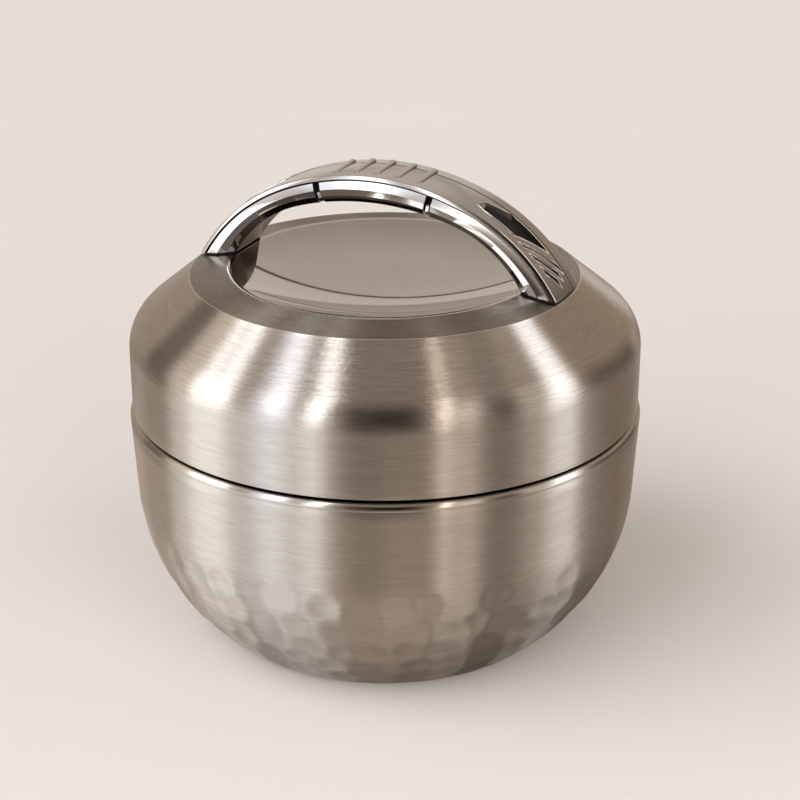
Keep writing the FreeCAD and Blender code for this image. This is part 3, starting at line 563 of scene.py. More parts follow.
def make_outer_bowl():
    corner = 1.0
    outline = [(0, RECESS_Z), (RECESS_R - corner, RECESS_Z)]
    outline += sweep(RECESS_R - corner, RECESS_Z - corner, corner, 90, 0, 4)
    outline += [(RECESS_R, BASE_Z + 0.4), (RECESS_R + 0.4, BASE_Z)]
    start = belly(0, BASE_Z, BELLY_Z, 100)
    outline += [(start[0][0] - 0.8, BASE_Z)]
    outline += start[1:]
    # Faint groove under the lip's bead
    groove = [(BOWL_R - inset, LIP_ARC_Z - drop)
              for inset, drop in ((0.05, 0.9), (0.15, 0.6), (0.15, 0.4), (0.04, 0.15))]
    outline += straight((BELLY_R, BELLY_Z), groove[0], 8)[1:] + groove
    outline += sweep(BOWL_R - LIP_ROUND, LIP_ARC_Z, LIP_ROUND, 3, 90, 14)
    outline += [(BOWL_R - LIP_ROUND, LIP_Z - SKIN)]
    outline += sweep(BOWL_R - LIP_ROUND, LIP_ARC_Z, LIP_ROUND - SKIN, 90, 0, 6)[1:]
    outline += belly(SKIN, BELLY_Z, BASE_Z + SKIN, 38)
    outline += [(RECESS_R + SKIN, BASE_Z + SKIN), (RECESS_R + SKIN, RECESS_Z + SKIN),
                (0, RECESS_Z + SKIN)]
    bowl = lathe("bowl_skin", outline, "base", 520, hammered)
    dress(bowl, "brushed_steel", STEEL_WALL, STEEL_BEAD)
    paint(bowl, lambda radius, height: int(height > LIP_ARC_Z + 0.55))
    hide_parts("outer_bowl")


def make_bowl_liner():
    outline = belly(BELLY_ARC - LINER_ARC - SKIN, LINER_FLOOR - SKIN, BELLY_CZ, 40)
    outline = [(0, LINER_FLOOR - SKIN)] + outline
    outline += [(LINER_R + SKIN, NECK_TOP - 0.5), (LINER_R + SKIN + 0.3, NECK_TOP)]
    outline += sweep(NECK_R, NECK_TOP + 0.3, 0.3, -90, 90, 6)
    outline += sweep(LINER_R + 0.8, NECK_TOP + SKIN - 0.8, 0.8, 90, 180, 6)
    outline += belly(BELLY_ARC - LINER_ARC, BELLY_CZ, LINER_FLOOR, 60)
    outline += [(0, LINER_FLOOR)]
    liner = lathe("liner", outline, "base")
    dress(liner, "plain_steel", STEEL_INSIDE)
    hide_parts("bowl_liner")


def make_base():
    inner, outer, thick = 46, 62, 2.6
    outline = [(inner, 0), (outer, 0), (outer, thick), (inner, thick)]
    pad = lathe("base_ring", softened(outline, 0.7, 4), "base")
    dress(pad, "black_rubber", RUBBER)
    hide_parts("base_pad")


# Vessels


def rim(side, top):
    """Outline from a vessel's side out round its turned rim."""
    return ([(side, top - 1.0), (side + 0.4, top - SKIN)]
            + sweep(RIM_R - 0.3, top - 0.3, 0.3, -90, 90, 6))


def make_food_bowl():
    arc = BELLY_ARC - VESSEL_ARC
    outline = [(0, VESSEL_FLOOR)] + belly(arc, VESSEL_FLOOR, BELLY_CZ, 48)
    outline += rim(VESSEL_R, FOOD_BOWL_TOP)
    outline += sweep(VESSEL_R - SKIN + 0.7, FOOD_BOWL_TOP - 0.7, 0.7, 90, 180, 6)
    outline += belly(arc + SKIN, BELLY_CZ, VESSEL_FLOOR + SKIN, 60)
    outline += [(0, VESSEL_FLOOR + SKIN)]
    bowl = lathe("food_vessel", outline, "food_bowl")
    dress(bowl, "plain_steel", STEEL_INSIDE)
    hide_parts("food_bowl")


def make_food_tray():
    low, top, tall, corner = 67.4, 97.0, 29.6, 6
    lean = math.tan(math.radians(15))
    side = RIM_R - 1.7
    corner_r = side - (tall - corner) * lean
    outline = [(0, low)]
    outline += sweep(corner_r - corner, low + corner, corner, -90, -12, 10)
    outline += straight((corner_r, low + corner), (side, top - 1.0), 8)[1:]
    outline += rim(side, top)
    outline += [(side + 0.1, top), (side - 0.35, top - 0.2), (side - SKIN, top - 0.8)]
    outline += straight((side - SKIN, top - 0.8), (corner_r - SKIN, low + corner), 8)[1:]
    outline += sweep(corner_r - corner, low + corner, corner - SKIN, -8, -90, 10)
    outline += [(0, low + SKIN)]
    tray = lathe("tray", outline, "food_tray")
    dress(tray, "plain_steel", STEEL_INSIDE)
    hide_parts("food_tray")


def make_bowl_cover():
    top = FOOD_BOWL_TOP + GAP + 1.8
    low = FOOD_BOWL_TOP + GAP
    skirt = VESSEL_R - SKIN - GAP - 1.0
    thick, deep = 1.6, 4.8
    outline = [(0, low), (skirt - thick, low), (skirt - thick, low - deep), (skirt, low - deep),
               (skirt, low), (RIM_R, low), (RIM_R, top), (70, top), (67, top - 0.7),
               (22, top - 0.7), (20, top), (0, top)]
    cover = lathe("bowl_lid", softened(outline, 0.5), "bowl_cover")
    dress(cover, "pale_plastic", PALE)
    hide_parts("bowl_cover")


def make_seal():
    low, high, thick = 98.5, 102.6, 0.8
    outline = [(5.05, low), (60, low), (64, low + 0.5), (66, low + 0.5), (70, low), (79, low),
               (83.1, high), (89.8, high), (89.8, high + thick), (82.7, high + thick),
               (78.6, low + thick), (70, low + thick), (66, low + thick + 0.5),
               (64, low + thick + 0.5), (60, low + thick), (5.05, low + thick)]
    plate = lathe("seal_disc", softened(outline, 0.5), "seal")
    dress(plate, "plain_steel", STEEL_INSIDE)
    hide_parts("seal_plate")
    outline = [(88, 101.3), (89.2, 101.3), (89.5, 101.45), (90.1, 101.45), (90.4, 101.3),
               (91.6, 101.3), (91.6, 104.6), (88, 104.6), (88, 103.45), (89.85, 103.45),
               (89.85, 102.55), (88, 102.55)]
    ring = lathe("gasket", softened(outline, 0.25), "seal")
    dress(ring, "clear_silicone", SILICONE)
    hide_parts("lid_gasket")


# Lid, with the material slots of its shell
WALL_FACE, LEDGE_FACE, DISH_FACE, BEAD_FACE = range(4)


def make_lid_shell():
    lean_in = SKIN / math.cos(math.radians((CONE - LEDGE) / 2))
    turn = math.radians((CONE + LEDGE) / 2)
    corner, edge = 0.5, 0.55
    outline = [(LID_R - HEM_WIDTH, HEM_Z + SKIN), (LID_R - HEM_WIDTH, HEM_Z)]
    outline += sweep(LID_R - corner, HEM_Z + corner, corner, -90, 0, 5)
    outline += straight((LID_R, HEM_Z + corner), (LID_R, SHOULDER_Z), 8)[1:]
    outline += sweep(SHOULDER_R, SHOULDER_Z, SHOULDER_ARC, 0, 90 - CONE, 26)
    outline += straight((CONE_R, CONE_Z),
                        (CROWN_R + edge * math.cos(math.radians(CONE)),
                         CROWN_Z - edge * math.sin(math.radians(CONE))), 12)[1:]
    outline += [(CROWN_R + edge * 0.8, CROWN_Z - edge * 0.62),
                (CROWN_R + edge * 0.3, CROWN_Z - edge * 0.18),
                (CROWN_R - edge * 0.3, CROWN_Z - edge * 0.05)]
    outline += straight((CROWN_R - edge, CROWN_Z + edge * LEDGE_SLOPE), (CREST_R, CREST_Z), 10)
    outline += sweep(CREST_MID, CREST_ARC_Z, CREST_ROUND, 90 - LEDGE, 90 + DISH, 16)
    outline += sweep(0, DISH_CZ, DISH_ARC, -90 + DISH, -90, 60)[1:-1]
    outline += [(0, DISH_CZ - DISH_ARC), (0, DISH_CZ - DISH_ARC - SKIN)]
    outline += sweep(0, DISH_CZ, DISH_ARC + SKIN, -90, -90 + DISH, 20)[1:]
    outline += sweep(CREST_MID, CREST_ARC_Z, CREST_ROUND - SKIN, 90 + DISH, 90 - LEDGE, 6)
    outline += [(CROWN_R - lean_in * math.sin(turn), CROWN_Z - lean_in * math.cos(turn))]
    outline += sweep(SHOULDER_R, SHOULDER_Z, SHOULDER_ARC - SKIN, 90 - CONE, 0, 10)
    shell = lathe("lid_skin", outline, "lid", 384, None, 20.0)
    dress(shell, "brushed_steel", STEEL_WALL, STEEL_LEDGE_PAINTED_DARK, STEEL_DISH, STEEL_BEAD)

    def choose(radius, height):
        if CROWN_R - 0.2 < radius < CROWN_R + 0.45 and height > CROWN_Z - 0.5:
            return BEAD_FACE
        if height < CROWN_Z - 0.3 and radius > CREST_MID:
            return WALL_FACE
        return LEDGE_FACE if radius > CREST_MID + 1.0 else DISH_FACE

    paint(shell, choose)
    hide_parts("lid_shell")


# Handle


def arch_point(top, crown, knee, side, turn, extra=0.0):
    """Along and height of an arch of a crown arc and two side arcs."""
    lean = math.radians(abs(turn))
    if abs(turn) <= knee:
        along = (crown + extra) * math.sin(lean)
        height = top - crown + (crown + extra) * math.cos(lean)
    else:
        bend = math.radians(knee)
        along = (crown - side) * math.sin(bend) + (side + extra) * math.sin(lean)
        height = (top - (crown - side) * (1 - math.cos(bend)) - side
                  + (side + extra) * math.cos(lean))
    return math.copysign(along, turn), height


def seam_point(turn, extra=0.0):
    return arch_point(SEAM_TOP, SEAM_CROWN, SEAM_KNEE, SEAM_SIDE, turn, extra)


def seam_turn(along):
    """Lean of the seam where it is so far along."""
    lean = turning_point(lambda turn: seam_point(turn)[0] < abs(along), 0.0, 80.0)
    return math.copysign(lean, along)


def arch_depth(turn):
    """Depth of the lower arch below the seam, square to the seam."""
    knee = math.radians(INNER_KNEE)
    side_x = (INNER_CROWN - INNER_SIDE) * math.sin(knee)
    side_z = ARCH_TOP - (INNER_CROWN - INNER_SIDE) * (1 - math.cos(knee)) - INNER_SIDE

    def outside(depth):
        along, height = seam_point(abs(turn), -depth)
        lean = math.atan2(along, height - (ARCH_TOP - INNER_CROWN))
        if lean <= knee:
            return math.hypot(along, height - ARCH_TOP + INNER_CROWN) - INNER_CROWN
        return math.hypot(along - side_x, height - side_z) - INNER_SIDE

    return turning_point(lambda depth: outside(depth) > 0, 0.0, 30.0)


def across(turn, shape):
    """Points across the arch from (width, height above the seam)."""
    loop = []
    for width, height in shape:
        along, up = seam_point(turn, height)
        loop.append((along, width, up))
    return loop


def section(turn, half_loop):
    """Loop across the arch from (half width, depth below the seam) of one half."""
    return across(turn, [(width, -depth) for width, depth in half_loop]
                  + [(-width, -depth) for width, depth in reversed(half_loop)])


def leg_half(turn):
    """Half section of the lower arch: upper facet, ridge, lower facet, steep band that gets
    painted dark reflection.
    """
    depth = arch_depth(turn)
    drop = 0.15
    ridge = 0.37 * depth
    knee = 0.68 * depth
    top = HALF_WIDTH - 0.65
    half = [(0.5, drop - 0.1), (top - 0.3, drop - 0.1), (top - 0.06, drop), (top, drop + 0.2)]
    half += [(HALF_WIDTH - 0.08, ridge - 0.16), (HALF_WIDTH, ridge),
             (HALF_WIDTH - 0.06, ridge + 0.16)]
    half += [(HALF_WIDTH - 0.56, knee - 0.1), (HALF_WIDTH - 0.64, knee),
             (HALF_WIDTH - 0.78, knee + 0.1)]
    half += [(HALF_WIDTH - 2.0, depth - 0.35), (HALF_WIDTH - 2.35, depth - 0.08),
             (HALF_WIDTH - 2.8, depth), (0.5, depth)]
    return half


def below_seam(along, height):
    """Lean and depth below the seam of a point in the middle plane."""
    bend = math.radians(SEAM_KNEE)
    up = height - SEAM_TOP + SEAM_CROWN
    lean = math.atan2(abs(along), up)
    if lean <= bend:
        return math.degrees(lean), SEAM_CROWN - math.hypot(along, up)
    aside = abs(along) - (SEAM_CROWN - SEAM_SIDE) * math.sin(bend)
    up = height - SEAM_TOP + (SEAM_CROWN - SEAM_SIDE) * (1 - math.cos(bend)) + SEAM_SIDE
    return math.degrees(math.atan2(aside, up)), SEAM_SIDE - math.hypot(aside, up)


def ledge_z(radius, above):
    """Height of the ledge's slope at a radius, and so much above it."""
    return CROWN_Z + (CROWN_R - radius) * LEDGE_SLOPE + above


def trim_cutter(outer_r):
    """What lies below the foot pads or past the foot's round end."""
    low_r = 30.0
    outline = [(low_r, CUT_LOW), (CUT_R, CUT_LOW), (CUT_R, CUT_HIGH), (outer_r, CUT_HIGH),
               (outer_r, ledge_z(outer_r, FOOT_PAD)), (low_r, ledge_z(low_r, FOOT_PAD))]
    return lathe("cutter", outline, "lid", CUTTER_SEGMENTS)


def make_arch_part(name, node, start, end, steps, trimmed):
    turns = np.linspace(start, end, steps + 1)
    part = loft(name, [section(t, leg_half(t)) for t in turns], "lid", 25.0)
    if trimmed:
        cut(part, [trim_cutter(FOOT_R - 0.9)], 25.0)
    # Painted reflection: darker chrome on the left leg's lower facet and on every steep band
    facet = CHROME_PAINTED_REFLECTION if start < -60 else CHROME
    dress(part, "polished_metal", CHROME, facet, CHROME_PAINTED_DARK_REFLECTION)
    for face in part.data.polygons:
        middle = face.center / MM
        lean, depth = below_seam(middle.x, middle.z)
        share = depth / arch_depth(lean)
        if len(face.vertices) == 4 and share > LOWER_FACET:
            face.material_index = 2 if share > PAINTED_DARK_BAND else 1
    soften_edges(part, "soft_ends", 0.16, 55)
    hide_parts(node)


def make_notch_tie(side, end):
    """Small bright block low in a notch, between the grip and a leg."""
    middle = (NOTCH_IN + NOTCH_OUT) / 2
    sections = []
    for off, inset in ((-0.75, 1.15), (-0.5, 0.9), (0.5, 0.9), (0.75, 1.15)):
        turn = seam_turn(middle + off) * side
        depth = arch_depth(turn)
        high, out = 0.44 * depth, HALF_WIDTH - inset
        sections.append(section(turn, [(0.5, high), (out - 0.4, high), (out, high + 0.35),
                                       (out - 0.3, 0.75 * depth), (out - 1.6, depth - 0.5),
                                       (0.5, depth - 0.5)]))
    tie = loft(f"notch_tie_{end}", sections, "lid", 25.0)
    dress(tie, "polished_metal", CHROME)


def make_foot_pad(side, end):
    """Thin pad between a foot and the ledge, a little larger than the foot."""
    def grown(turn):
        return [(width + (0.25 if width > 1 else 0), depth) for width, depth in leg_half(turn)]

    turns = np.linspace(46, 80, 35) * side
    pad = loft(f"pad_{end}", [section(t, grown(t)) for t in turns], "lid", 30.0)
    reach, outside, lifted = FOOT_R - 0.5, 160.0, 0.02
    above = [(0, ledge_z(0, FOOT_PAD)), (reach, ledge_z(reach, FOOT_PAD)), (reach, 100),
             (CUT_R, 100), (CUT_R, CUT_HIGH), (0, CUT_HIGH)]
    below = [(0, CUT_LOW), (outside, CUT_LOW), (outside, ledge_z(outside, lifted)),
             (0, ledge_z(0, lifted))]
    cut(pad, [lathe("cutter", outline, "lid", CUTTER_SEGMENTS) for outline in (above, below)])
    dress(pad, "black_rubber", RUBBER)
    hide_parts(f"foot_pad_{end}")


def make_lower_arch():
    inner, outer = seam_turn(NOTCH_IN), seam_turn(NOTCH_OUT)
    make_arch_part("grip", "handle_grip", -inner, inner, 24, False)
    make_arch_part("right_leg", "handle_leg_right", outer, END_TURN, 44, True)
    make_arch_part("left_leg", "handle_leg_left", -END_TURN, -outer, 44, True)
    for side, end in SIDES:
        make_notch_tie(side, end)
        make_foot_pad(side, end)


def make_core():
    inner, outer = seam_turn(NOTCH_IN - 0.3), seam_turn(NOTCH_OUT + 0.3)

    def half(turn):
        in_notch = inner <= abs(turn) <= outer
        side = HALF_WIDTH - (3.0 if in_notch else 1.6)
        low = arch_depth(turn) - 1.0 if in_notch else 1.2
        return [(0.5, -SEAM), (side + 0.4, -SEAM), (side + 0.4, 0.0), (side, 0.05),
                (side, low - 0.4), (side - 0.4, low), (0.5, low)]

    beside = 0.01
    turns = sorted([*np.linspace(-END_TURN, END_TURN, 97), inner, outer, -inner, -outer,
                    inner - beside, outer + beside, -inner + beside, -outer - beside])
    core = loft("black_core", [section(t, half(t)) for t in turns], "lid")
    cut(core, [trim_cutter(FOOT_R - 1.2)])
    dress(core, "black_plastic", BLACK_AND_PAINTED_SHADE)
    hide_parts("handle_core")


COVER_EDGE = 11.8


def crown(aside):
    """Height of the cover's gently crowned face over the cover's underside."""
    return COVER - 0.42 * (aside / COVER_EDGE) ** 2


def cover_loop(turn):
    """Section of the cover: crowned face, fine groove along the back, steep edge facets."""
    shape = [(-12.45, 0.0), (-12.66, 0.07), (-12.7, 0.22), (-12.24, 1.26), (-12.1, 1.44),
             (-COVER_EDGE, crown(COVER_EDGE))]
    near, far = GROOVE
    shape += [(width, crown(width)) for width in (-10.4, -9.0, -7.0, -5.0, -2.5, 0.0, 2.5, near)]
    shape += [(width, crown(width) - GROOVE_DEPTH) for width in GROOVE_FLOOR]
    shape += [(width, crown(width)) for width in (far, 7.0, 9.0, 10.4)]
    shape += [(-width, height) for width, height in shape[5::-1]]
    return across(turn, [(width, SEAM + height) for width, height in shape])


def block_faces(count):
    """Two caps and the sides between them, for points given cap by cap."""
    sides = [[i, (i + 1) % count, count + (i + 1) % count, count + i] for i in range(count)]
    return [list(range(count)), list(range(count, 2 * count))] + sides


def prism(corners):
    """Upright block through the cover over a plan outline."""
    low, high = 130, 200
    vertices = [(x * MM, y * MM, z * MM) for z in (low, high) for x, y in corners]
    return new_object("cutter", vertices, block_faces(len(corners)), "lid")


def slot_corners(side):
    places = [(SLOT_START, -0.6), (SLOT_START + 0.5 * SLOT_WIDTH, -0.8),
              (SLOT_END - SLOT_TAPER, -0.9), (SLOT_END, 0.45),
              (SLOT_START + 1.25 * SLOT_WIDTH, 0.55), (SLOT_START + 0.125 * SLOT_WIDTH, 0.1)]
    return [(side * along, side * share * SLOT_WIDTH) for along, share in places]


def window_corners(side, index):
    """Slit beside the slot's slanted end, each shorter than the one before."""
    low, high = SLIT_LOW, SLIT_HIGH - SLIT_STEP * index
    slope = SLOT_TAPER / (SLOT_WIDTH * 1.35)

    def place(along, aside):
        slant = (aside + 0.9 * SLOT_WIDTH) * slope
        return (side * (SLOT_END - SLOT_TAPER + SLIT_PITCH * (index + 1) + slant + along),
                side * aside)

    return [place(-SLIT_HALF, low), place(SLIT_HALF, low), place(SLIT_HALF, high),
            place(-SLIT_HALF, high)]


def face_height(aside):
    """Height of the cover's face above the seam at a distance from its middle line."""
    return SEAM + crown(aside)


def on_cover(along, aside, drop=0.0):
    """Point in metres over a place in plan, on the cover's face or drop below it."""
    turn = seam_turn(along)
    reach, height = seam_point(turn, face_height(aside) - drop)
    rise = (abs(along) - abs(reach)) * -math.tan(math.radians(abs(turn)))
    return along * MM, aside * MM, (height + rise) * MM


def edge_line(name, corners, thickness):
    """Thin bright rim that follows a cut-out's edge on the cover."""
    steps = 8
    points = []
    for index, corner in enumerate(corners):
        following = corners[(index + 1) % len(corners)]
        for step in range(steps):
            t = step / steps
            points.append(on_cover(*(a + (b - a) * t for a, b in zip(corner, following))))
    vertices = []
    count, around = len(points), 6
    for i in range(count):
        here = Vector(points[i])
        way = (Vector(points[(i + 1) % count]) - Vector(points[i - 1])).normalized()
        side = way.cross(UP).normalized()
        up = side.cross(way).normalized()
        for k in range(around):
            a = 2 * math.pi * k / around
            vertices.append(here + (side * math.cos(a) + up * math.sin(a)) * thickness * MM)
    line = new_object(name, vertices, tube_faces(count, around, True), "lid", 60.0)
    dress(line, "polished_metal", CHROME)


def make_fill(name, corners, face_drop):
    """Black boss of the core that rises into a slit of the cover."""
    middle, fit = np.mean(corners, axis=0), 0.985
    vertices = [on_cover(*(middle + (np.array(corner) - middle) * fit), drop)
                for drop in (COVER, face_drop) for corner in corners]
    fill = new_object(name, vertices, block_faces(len(corners)), "lid")
    soften_edges(fill, "soft_edges", 0.15)
    dress(fill, "black_plastic", BLACK_AND_PAINTED_SHADE)


def make_rib(index):
    """Rounded grip rib that rises from the face and ends bluntly past the groove."""
    middle = RIB_PITCH * (index - 2)
    sections = []
    for aside, height, half in ((-9.2, -0.1, 0.6), (-8.5, 0.2, 0.95), (-6.8, 0.42, 1.2),
                                (-3.0, 0.55, 1.3), (2.0, 0.65, 1.3), (6.2, 0.95, 1.3),
                                (8.3, 1.15, 1.25), (8.8, 0.95, 1.15)):
        loop = []
        for step in range(11):
            a = math.pi * step / 10
            turn = seam_turn(middle + half * math.cos(a))
            reach = face_height(aside) - 0.1 + (height + 0.1) * math.sin(a) ** 0.45
            x, z = seam_point(turn, reach)
            loop.append((x, aside, z))
        for edge in (-half, half):
            x, z = seam_point(seam_turn(middle + edge), SEAM + 0.5)
            loop.append((x, aside, z))
        sections.append(loop)
    rib = loft(f"rib_{index + 1}", sections, "lid", 50.0)
    dress(rib, "satin_metal", SATIN)


def make_cover():
    turns = np.linspace(-END_TURN, END_TURN, 161)
    cover = loft("top_cover", [cover_loop(t) for t in turns], "lid", 22.0)
    cutters = [trim_cutter(FOOT_R)]
    for side in (1, -1):
        cutters.append(prism(slot_corners(side)))
        cutters += [prism(window_corners(side, index)) for index in range(3)]
    cut(cover, cutters, 22.0)
    dress(cover, "satin_metal", SATIN, BLACK_AND_PAINTED_SHADE)
    # Painted shade: the groove's faces get the black material
    near, far = GROOVE
    for face in cover.data.polygons:
        middle = face.center / MM
        if near + 0.02 < middle.y < far - 0.02 and abs(middle.x) < FOOT_R - 3:
            face.material_index = 1
    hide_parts("handle_cover")
    for side, end in SIDES:
        edge_line(f"slot_rim_{end}", slot_corners(side), 0.28)
        for index in range(3):
            corners = window_corners(side, index)
            edge_line(f"slit_rim_{end}_{index + 1}", corners, 0.2)
            make_fill(f"slit_fill_{end}_{index + 1}", corners, 0.05)
    for index in range(5):
        make_rib(index)


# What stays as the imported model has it, with better materials


def dress_packed():
    finishes = {
        "base_plate": STEEL_INSIDE, "bowl_insulation": FOAM, "rim_collar": BLACK_AND_PAINTED_SHADE,
        "cover_seal": SILICONE, "swivel_bush": PALE, "lock_ring": BLACK_AND_PAINTED_SHADE, "lid_liner": BLACK_AND_PAINTED_SHADE,
        "lid_insulation": FOAM, "swivel_screw": STEEL_BEAD, "handle_screws": STEEL_BEAD,
        "backing_block_left": BLACK_AND_PAINTED_SHADE, "backing_block_right": BLACK_AND_PAINTED_SHADE,
    }
    for name, material in finishes.items():
        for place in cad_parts[name].material_slots:
            place.link = "OBJECT"
            place.material = material


# Studio


CAMERA_AT = Vector((0.2799, -0.6324, 0.3791))
CAMERA_TO = Vector((0.00525, 0.00227, 0.0887))
LENS = 85.3
TOWARDS = Vector((CAMERA_AT.x, CAMERA_AT.y, 0)).normalized()
RIGHT = Vector((-TOWARDS.y, TOWARDS.x, 0))


def make_camera():
    camera = bpy.data.objects.new("camera", bpy.data.cameras.new("camera"))
    camera.data.lens = LENS
    camera.data.sensor_width = 36.0
    camera.location = CAMERA_AT
    camera.rotation_mode = "QUATERNION"
    camera.rotation_quaternion = (CAMERA_TO - CAMERA_AT).to_track_quat("-Z", "Y")
    bpy.context.scene.collection.objects.link(camera)
    bpy.context.scene.camera = camera


VIEW = (CAMERA_AT - CAMERA_TO).normalized()

# A surface that faces a given way mirrors one direction of the studio towards the viewer, so
# each soft panel is placed by the way of facing that shows it, in degrees. First its middle,
# half width, softness and slant round the object, from the viewer's side towards the right.
# Then where it starts and is full, and where it fades and is gone, upwards. Then its level
# and tint.
WARM, TAN, BROWN = (1.0, 0.945, 0.885), (1.0, 0.87, 0.745), (1.0, 0.82, 0.675)
WHITE, COOL = (1.0, 1.01, 1.03), (0.96, 0.995, 1.05)
DUSK = (1.0, 0.77, 0.58)
PANELS = (
    ("low_left", -62, 44, 16, 0, -95, -90, -14, -2, 0.62, TAN),
    ("low_right", 45, 25, 30, 0, -95, -90, -18, -6, 0.34, BROWN),
    ("right_low", 74, 24, 14, 0, -60, -50, -22, -10, 0.1, BROWN),
    ("far_left", -100, 22, 26, 0, -30, -10, -4, 10, 0.78, TAN),
    ("left_sheet", -34, 18.5, 5, 0, -12, 0, 52, 56, 0.54, TAN),
    ("left_sheet_low", -34, 18.5, 5, 0, -26, -8, 10, 26, 0.9, WARM),
    ("front", -0.6, 7.6, 2.8, 0, -14, 0, 56, 64, 0.27, BROWN),
    ("front_low", -0.6, 8.6, 4.0, 0, -48, -32, -8, 3, 0.6, BROWN),
    ("front_core", -0.6, 7.2, 2.4, 0, -8, 9, 32, 44, 0.08, BROWN),
    ("front_heart", 0.8, 2.2, 5.0, 0, 8, 16, 25, 38, 0.01, BROWN),
    ("shelf", 16.2, 3.6, 1.6, 0.03, -30, -8, 40, 54, 0.61, TAN),
    ("shelf_core", 17.4, 1.8, 1.0, 0.03, 8, 18, 30, 42, 0.95, TAN),
    ("slit", 12.0, 0.4, 0.9, 0.03, -24, -2, 52, 56, 1.5, TAN),
    ("slit_core", 11.9, 0.3, 0.7, 0.03, 8, 16, 44, 52, 3.3, TAN),
    ("gap", 25.5, 4, 2, 0.03, -12, 0, 52, 56, 0.3, BROWN),
    ("gap_core", 27.5, 2.5, 3, 0, 4, 14, 28, 40, 0.14, BROWN),
    ("right_haze", 49.5, 2.0, 5.5, 0, -16, -4, 50, 58, 0.46, TAN),
    ("right_sheet", 35, 2.6, 4, 0, -13, -2, 40, 54, 0.62, TAN),
    ("right_lamp", 41.6, 2.5, 4.0, 0.05, -9, 2, 52, 56, 1.4, WARM),
    ("right_lamp_core", 41.4, 2.1, 2.2, 0.05, 8, 20, 52, 56, 1.95, WHITE),
    ("right_dusk", 68, 15, 9, 0, 24, 36, 62, 72, 0.36, DUSK),
    ("left_dusk", -80, 12, 14, 0, 12, 22, 62, 72, 0.42, BROWN),
    ("left_dark", -63, 2.5, 6, 0, 6, 18, 62, 70, 0.2, BROWN),
    ("right_shade", 63, 9, 8, 0, 8, 18, 27, 42, 0.12, BROWN),
    ("far_right", 95, 12, 16, 0, -10, 0, 6, 18, 0.5, TAN),
    ("left_haze", -50.5, 2.5, 5.5, 0, 10, 22, 52, 60, 0.86, TAN),
    ("left_lamp_a", -43.4, 4.0, 3.0, 0, -20, 6, 52, 56, 1.42, WARM),
    ("left_lamp_a_core", -42.4, 4.4, 2.0, 0, 8, 20, 40, 48, 2.2, WHITE),
    ("left_lamp_a_top", -40.2, 0.8, 1.4, 0, 36, 46, 53, 56, 2.6, WHITE),
    ("left_lamp_a_side", -46.0, 0.5, 1.1, 0, 36, 46, 53, 56, 2.4, WHITE),
    ("left_lamp_b", -26.2, 3.2, 2.6, 0, -20, 6, 52, 56, 1.1, COOL),
    ("left_lamp_b_core", -25.4, 1.6, 1.6, 0, 10, 24, 53, 56, 2.4, COOL),
    ("left_lamp_c", -17.2, 1.4, 2.0, 0.05, -20, 6, 52, 56, 1.1, WARM),
    ("left_lamp_c_core", -17.0, 0.6, 1.0, 0.05, 10, 22, 53, 56, 4.2, WHITE),
    ("top", 0, 60, 30, 0, 54, 58, 68, 80, 0.42, TAN),
    ("low_rim_left", -70, 34, 40, 0, -95, -90, -34, -20, 0.2, BROWN),
    ("low_rim_right", 45, 30, 30, 0, -95, -90, -34, -18, 0.06, BROWN),
    ("low_edge", -10, 110, 40, 0, -95, -90, -43, -32, 0.0, BROWN),
)
STUDIO = (0.31, 0.242, 0.19)
BACK = (0.6, 0.53, 0.47)
BACK_LOW = (0.68, 0.61, 0.55)
LINE = (0.1, 0.075, 0.06)
# Fades behind the object, each from its start to its end
BEHIND = -0.15, -0.45
WALL_EDGE, WALL_SLANT, WALL_FOOT = (15.5, 16.3), 0.6, (-6.0, -9.0)
LINE_AT, LINE_EDGE = 16.0, (0.9, 0.45)
PATCH_EDGE = 2.0, -14.0


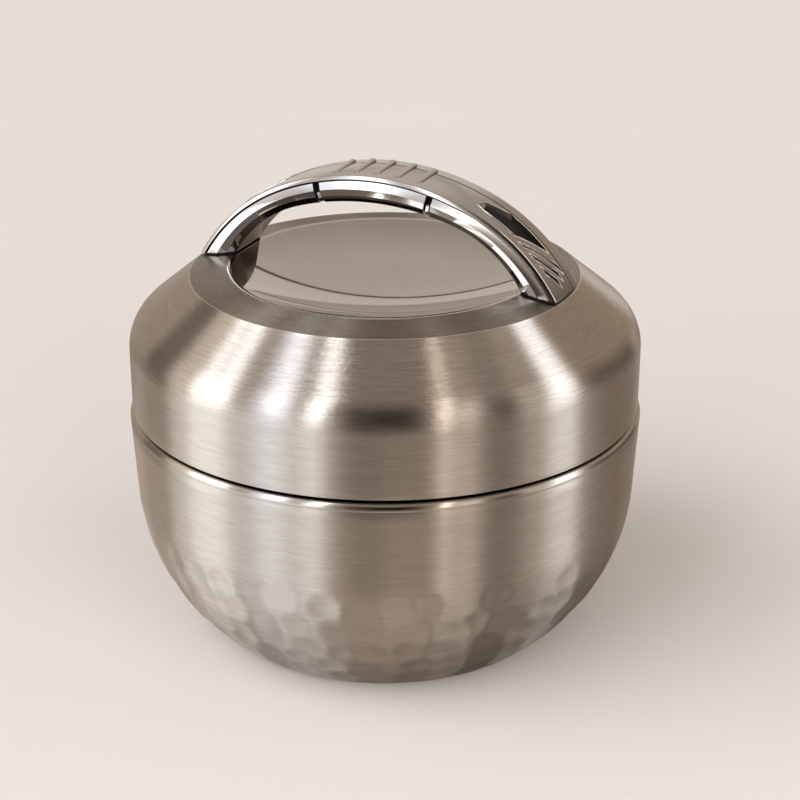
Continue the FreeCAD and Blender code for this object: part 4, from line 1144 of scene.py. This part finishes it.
def make_world():
    world = bpy.data.worlds.new("studio")
    world.use_nodes = True
    bpy.context.scene.world = world
    tree = world.node_tree
    way = tree.nodes.new("ShaderNodeTexCoord").outputs["Generated"]

    def share(vector, direction):
        return vector_math(tree, "DOT_PRODUCT", vector, direction)

    def fade(value, start, end):
        node = tree.nodes.new("ShaderNodeMapRange")
        node.interpolation_type = "SMOOTHSTEP"
        feed(tree, node, {"Value": value, "From Min": start, "From Max": end})
        return node.outputs["Result"]

    def degrees(operation, *values):
        return math_node(tree, "MULTIPLY", math_node(tree, operation, *values), 180 / math.pi)

    def apart(first, second):
        return math_node(tree, "ABSOLUTE", math_node(tree, "SUBTRACT", first, second))

    facing = vector_math(tree, "NORMALIZE", vector_math(tree, "ADD", way, VIEW))
    turn = degrees("ARCTAN2", share(facing, RIGHT), share(facing, TOWARDS))
    climb = degrees("ARCSINE", share(facing, UP))

    # Behind the object: wall above a thin dark edge, paler below it
    behind = fade(share(way, TOWARDS), *BEHIND)
    height = degrees("ARCSINE", share(way, UP))
    aside = degrees("ARCTAN2", share(way, RIGHT), share(way, -TOWARDS))
    level = math_node(tree, "MULTIPLY_ADD", aside, -WALL_SLANT, height)
    wall = mixed(tree, fade(level, *WALL_EDGE), BACK_LOW, BACK)
    wall = mixed(tree, fade(apart(level, LINE_AT), *LINE_EDGE), wall, LINE)
    wall = mixed(tree, fade(height, *WALL_FOOT), wall, STUDIO)
    shade = mixed(tree, behind, STUDIO, wall)

    for _, middle, half, soft, slant, start, full, wane, end, power, tint in PANELS:
        along = math_node(tree, "MULTIPLY_ADD", climb, -slant, turn)
        mask = fade(apart(along, middle), half + soft, half)
        for edge in (fade(climb, start, full), fade(climb, end, wane)):
            mask = math_node(tree, "MULTIPLY", mask, edge)
        shade = mixed(tree, mask, shade, tuple(power * c for c in tint))

    # Soft uneven patches low down, which show in the hammered dents
    tall = vector_math(tree, "MULTIPLY", facing, (1.0, 1.0, 0.25))
    patches = ramp(tree, noise(tree, tall, 8.0, 1.0), (0.32, 0.5), (0.68, 1.5))
    patchy = mixed(tree, fade(climb, *PATCH_EDGE), (1.0, 1.0, 1.0), patches)
    feed(tree, tree.nodes["Background"],
         {"Color": vector_math(tree, "MULTIPLY", shade, patchy)})


def soft_sun(name, place, strength, spread, colour):
    """Wide, soft light from far away; place is the way it comes from."""
    lamp = bpy.data.lights.new(name, "SUN")
    lamp.energy = strength
    lamp.angle = math.radians(spread)
    lamp.color = colour
    light = bpy.data.objects.new(name, lamp)
    light.rotation_mode = "QUATERNION"
    light.rotation_quaternion = place.to_track_quat("Z", "Y")
    light.visible_glossy = False
    bpy.context.scene.collection.objects.link(light)


def make_floor():
    mesh = bpy.data.meshes.new("floor")
    reach = 60.0
    corners = [(-reach, -reach, 0), (reach, -reach, 0), (reach, reach, 0), (-reach, reach, 0)]
    mesh.from_pydata(corners, [], [(0, 1, 2, 3)])
    floor = bpy.data.objects.new("floor", mesh)
    bpy.context.scene.collection.objects.link(floor)
    floor.visible_glossy = False
    material, tree, shader = nodes_of("pale_floor")
    place = object_space(tree)
    cloud = noise(tree, place, 5.0, 4.0)
    fine = noise(tree, place, 260.0, 3.0)
    tone = mixed(tree, cloud, (0.735, 0.7, 0.68), (0.765, 0.73, 0.71))
    # Painted light: the floor is painted paler towards the front and front left, which lightens
    # the shadow there
    painted_light_ahead = vector_math(tree, "DOT_PRODUCT", place, 1.2 * TOWARDS - 0.25 * RIGHT)
    front = ramp(tree, math_node(tree, "ADD", painted_light_ahead, 0.5), (0.3, 0.0), (0.8, 1.0))
    tone = mixed(tree, front, tone, (0.82, 0.785, 0.76))
    feed(tree, shader, {"Base Color": tone, "Roughness": 0.85, "Specular IOR Level": 0.2,
                        "Normal": bump(tree, fine, 0.05, 0.0005)})
    mesh.materials.append(material)


make_outer_bowl()
make_bowl_liner()
make_base()
make_food_bowl()
make_food_tray()
make_bowl_cover()
make_seal()
make_lid_shell()
make_lower_arch()
make_core()
make_cover()
dress_packed()
make_camera()
make_world()
soft_sun("key", -0.85 * RIGHT + 0.3 * TOWARDS + Vector((0, 0, 0.95)),
         strength=0.6, spread=40, colour=(1.0, 0.98, 0.95))
soft_sun("fill", 0.1 * RIGHT + 1.0 * TOWARDS + Vector((0, 0, 0.6)),
         strength=1.5, spread=90, colour=(0.985, 0.98, 0.965))
make_floor()
bpy.context.scene.view_settings.view_transform = "Standard"
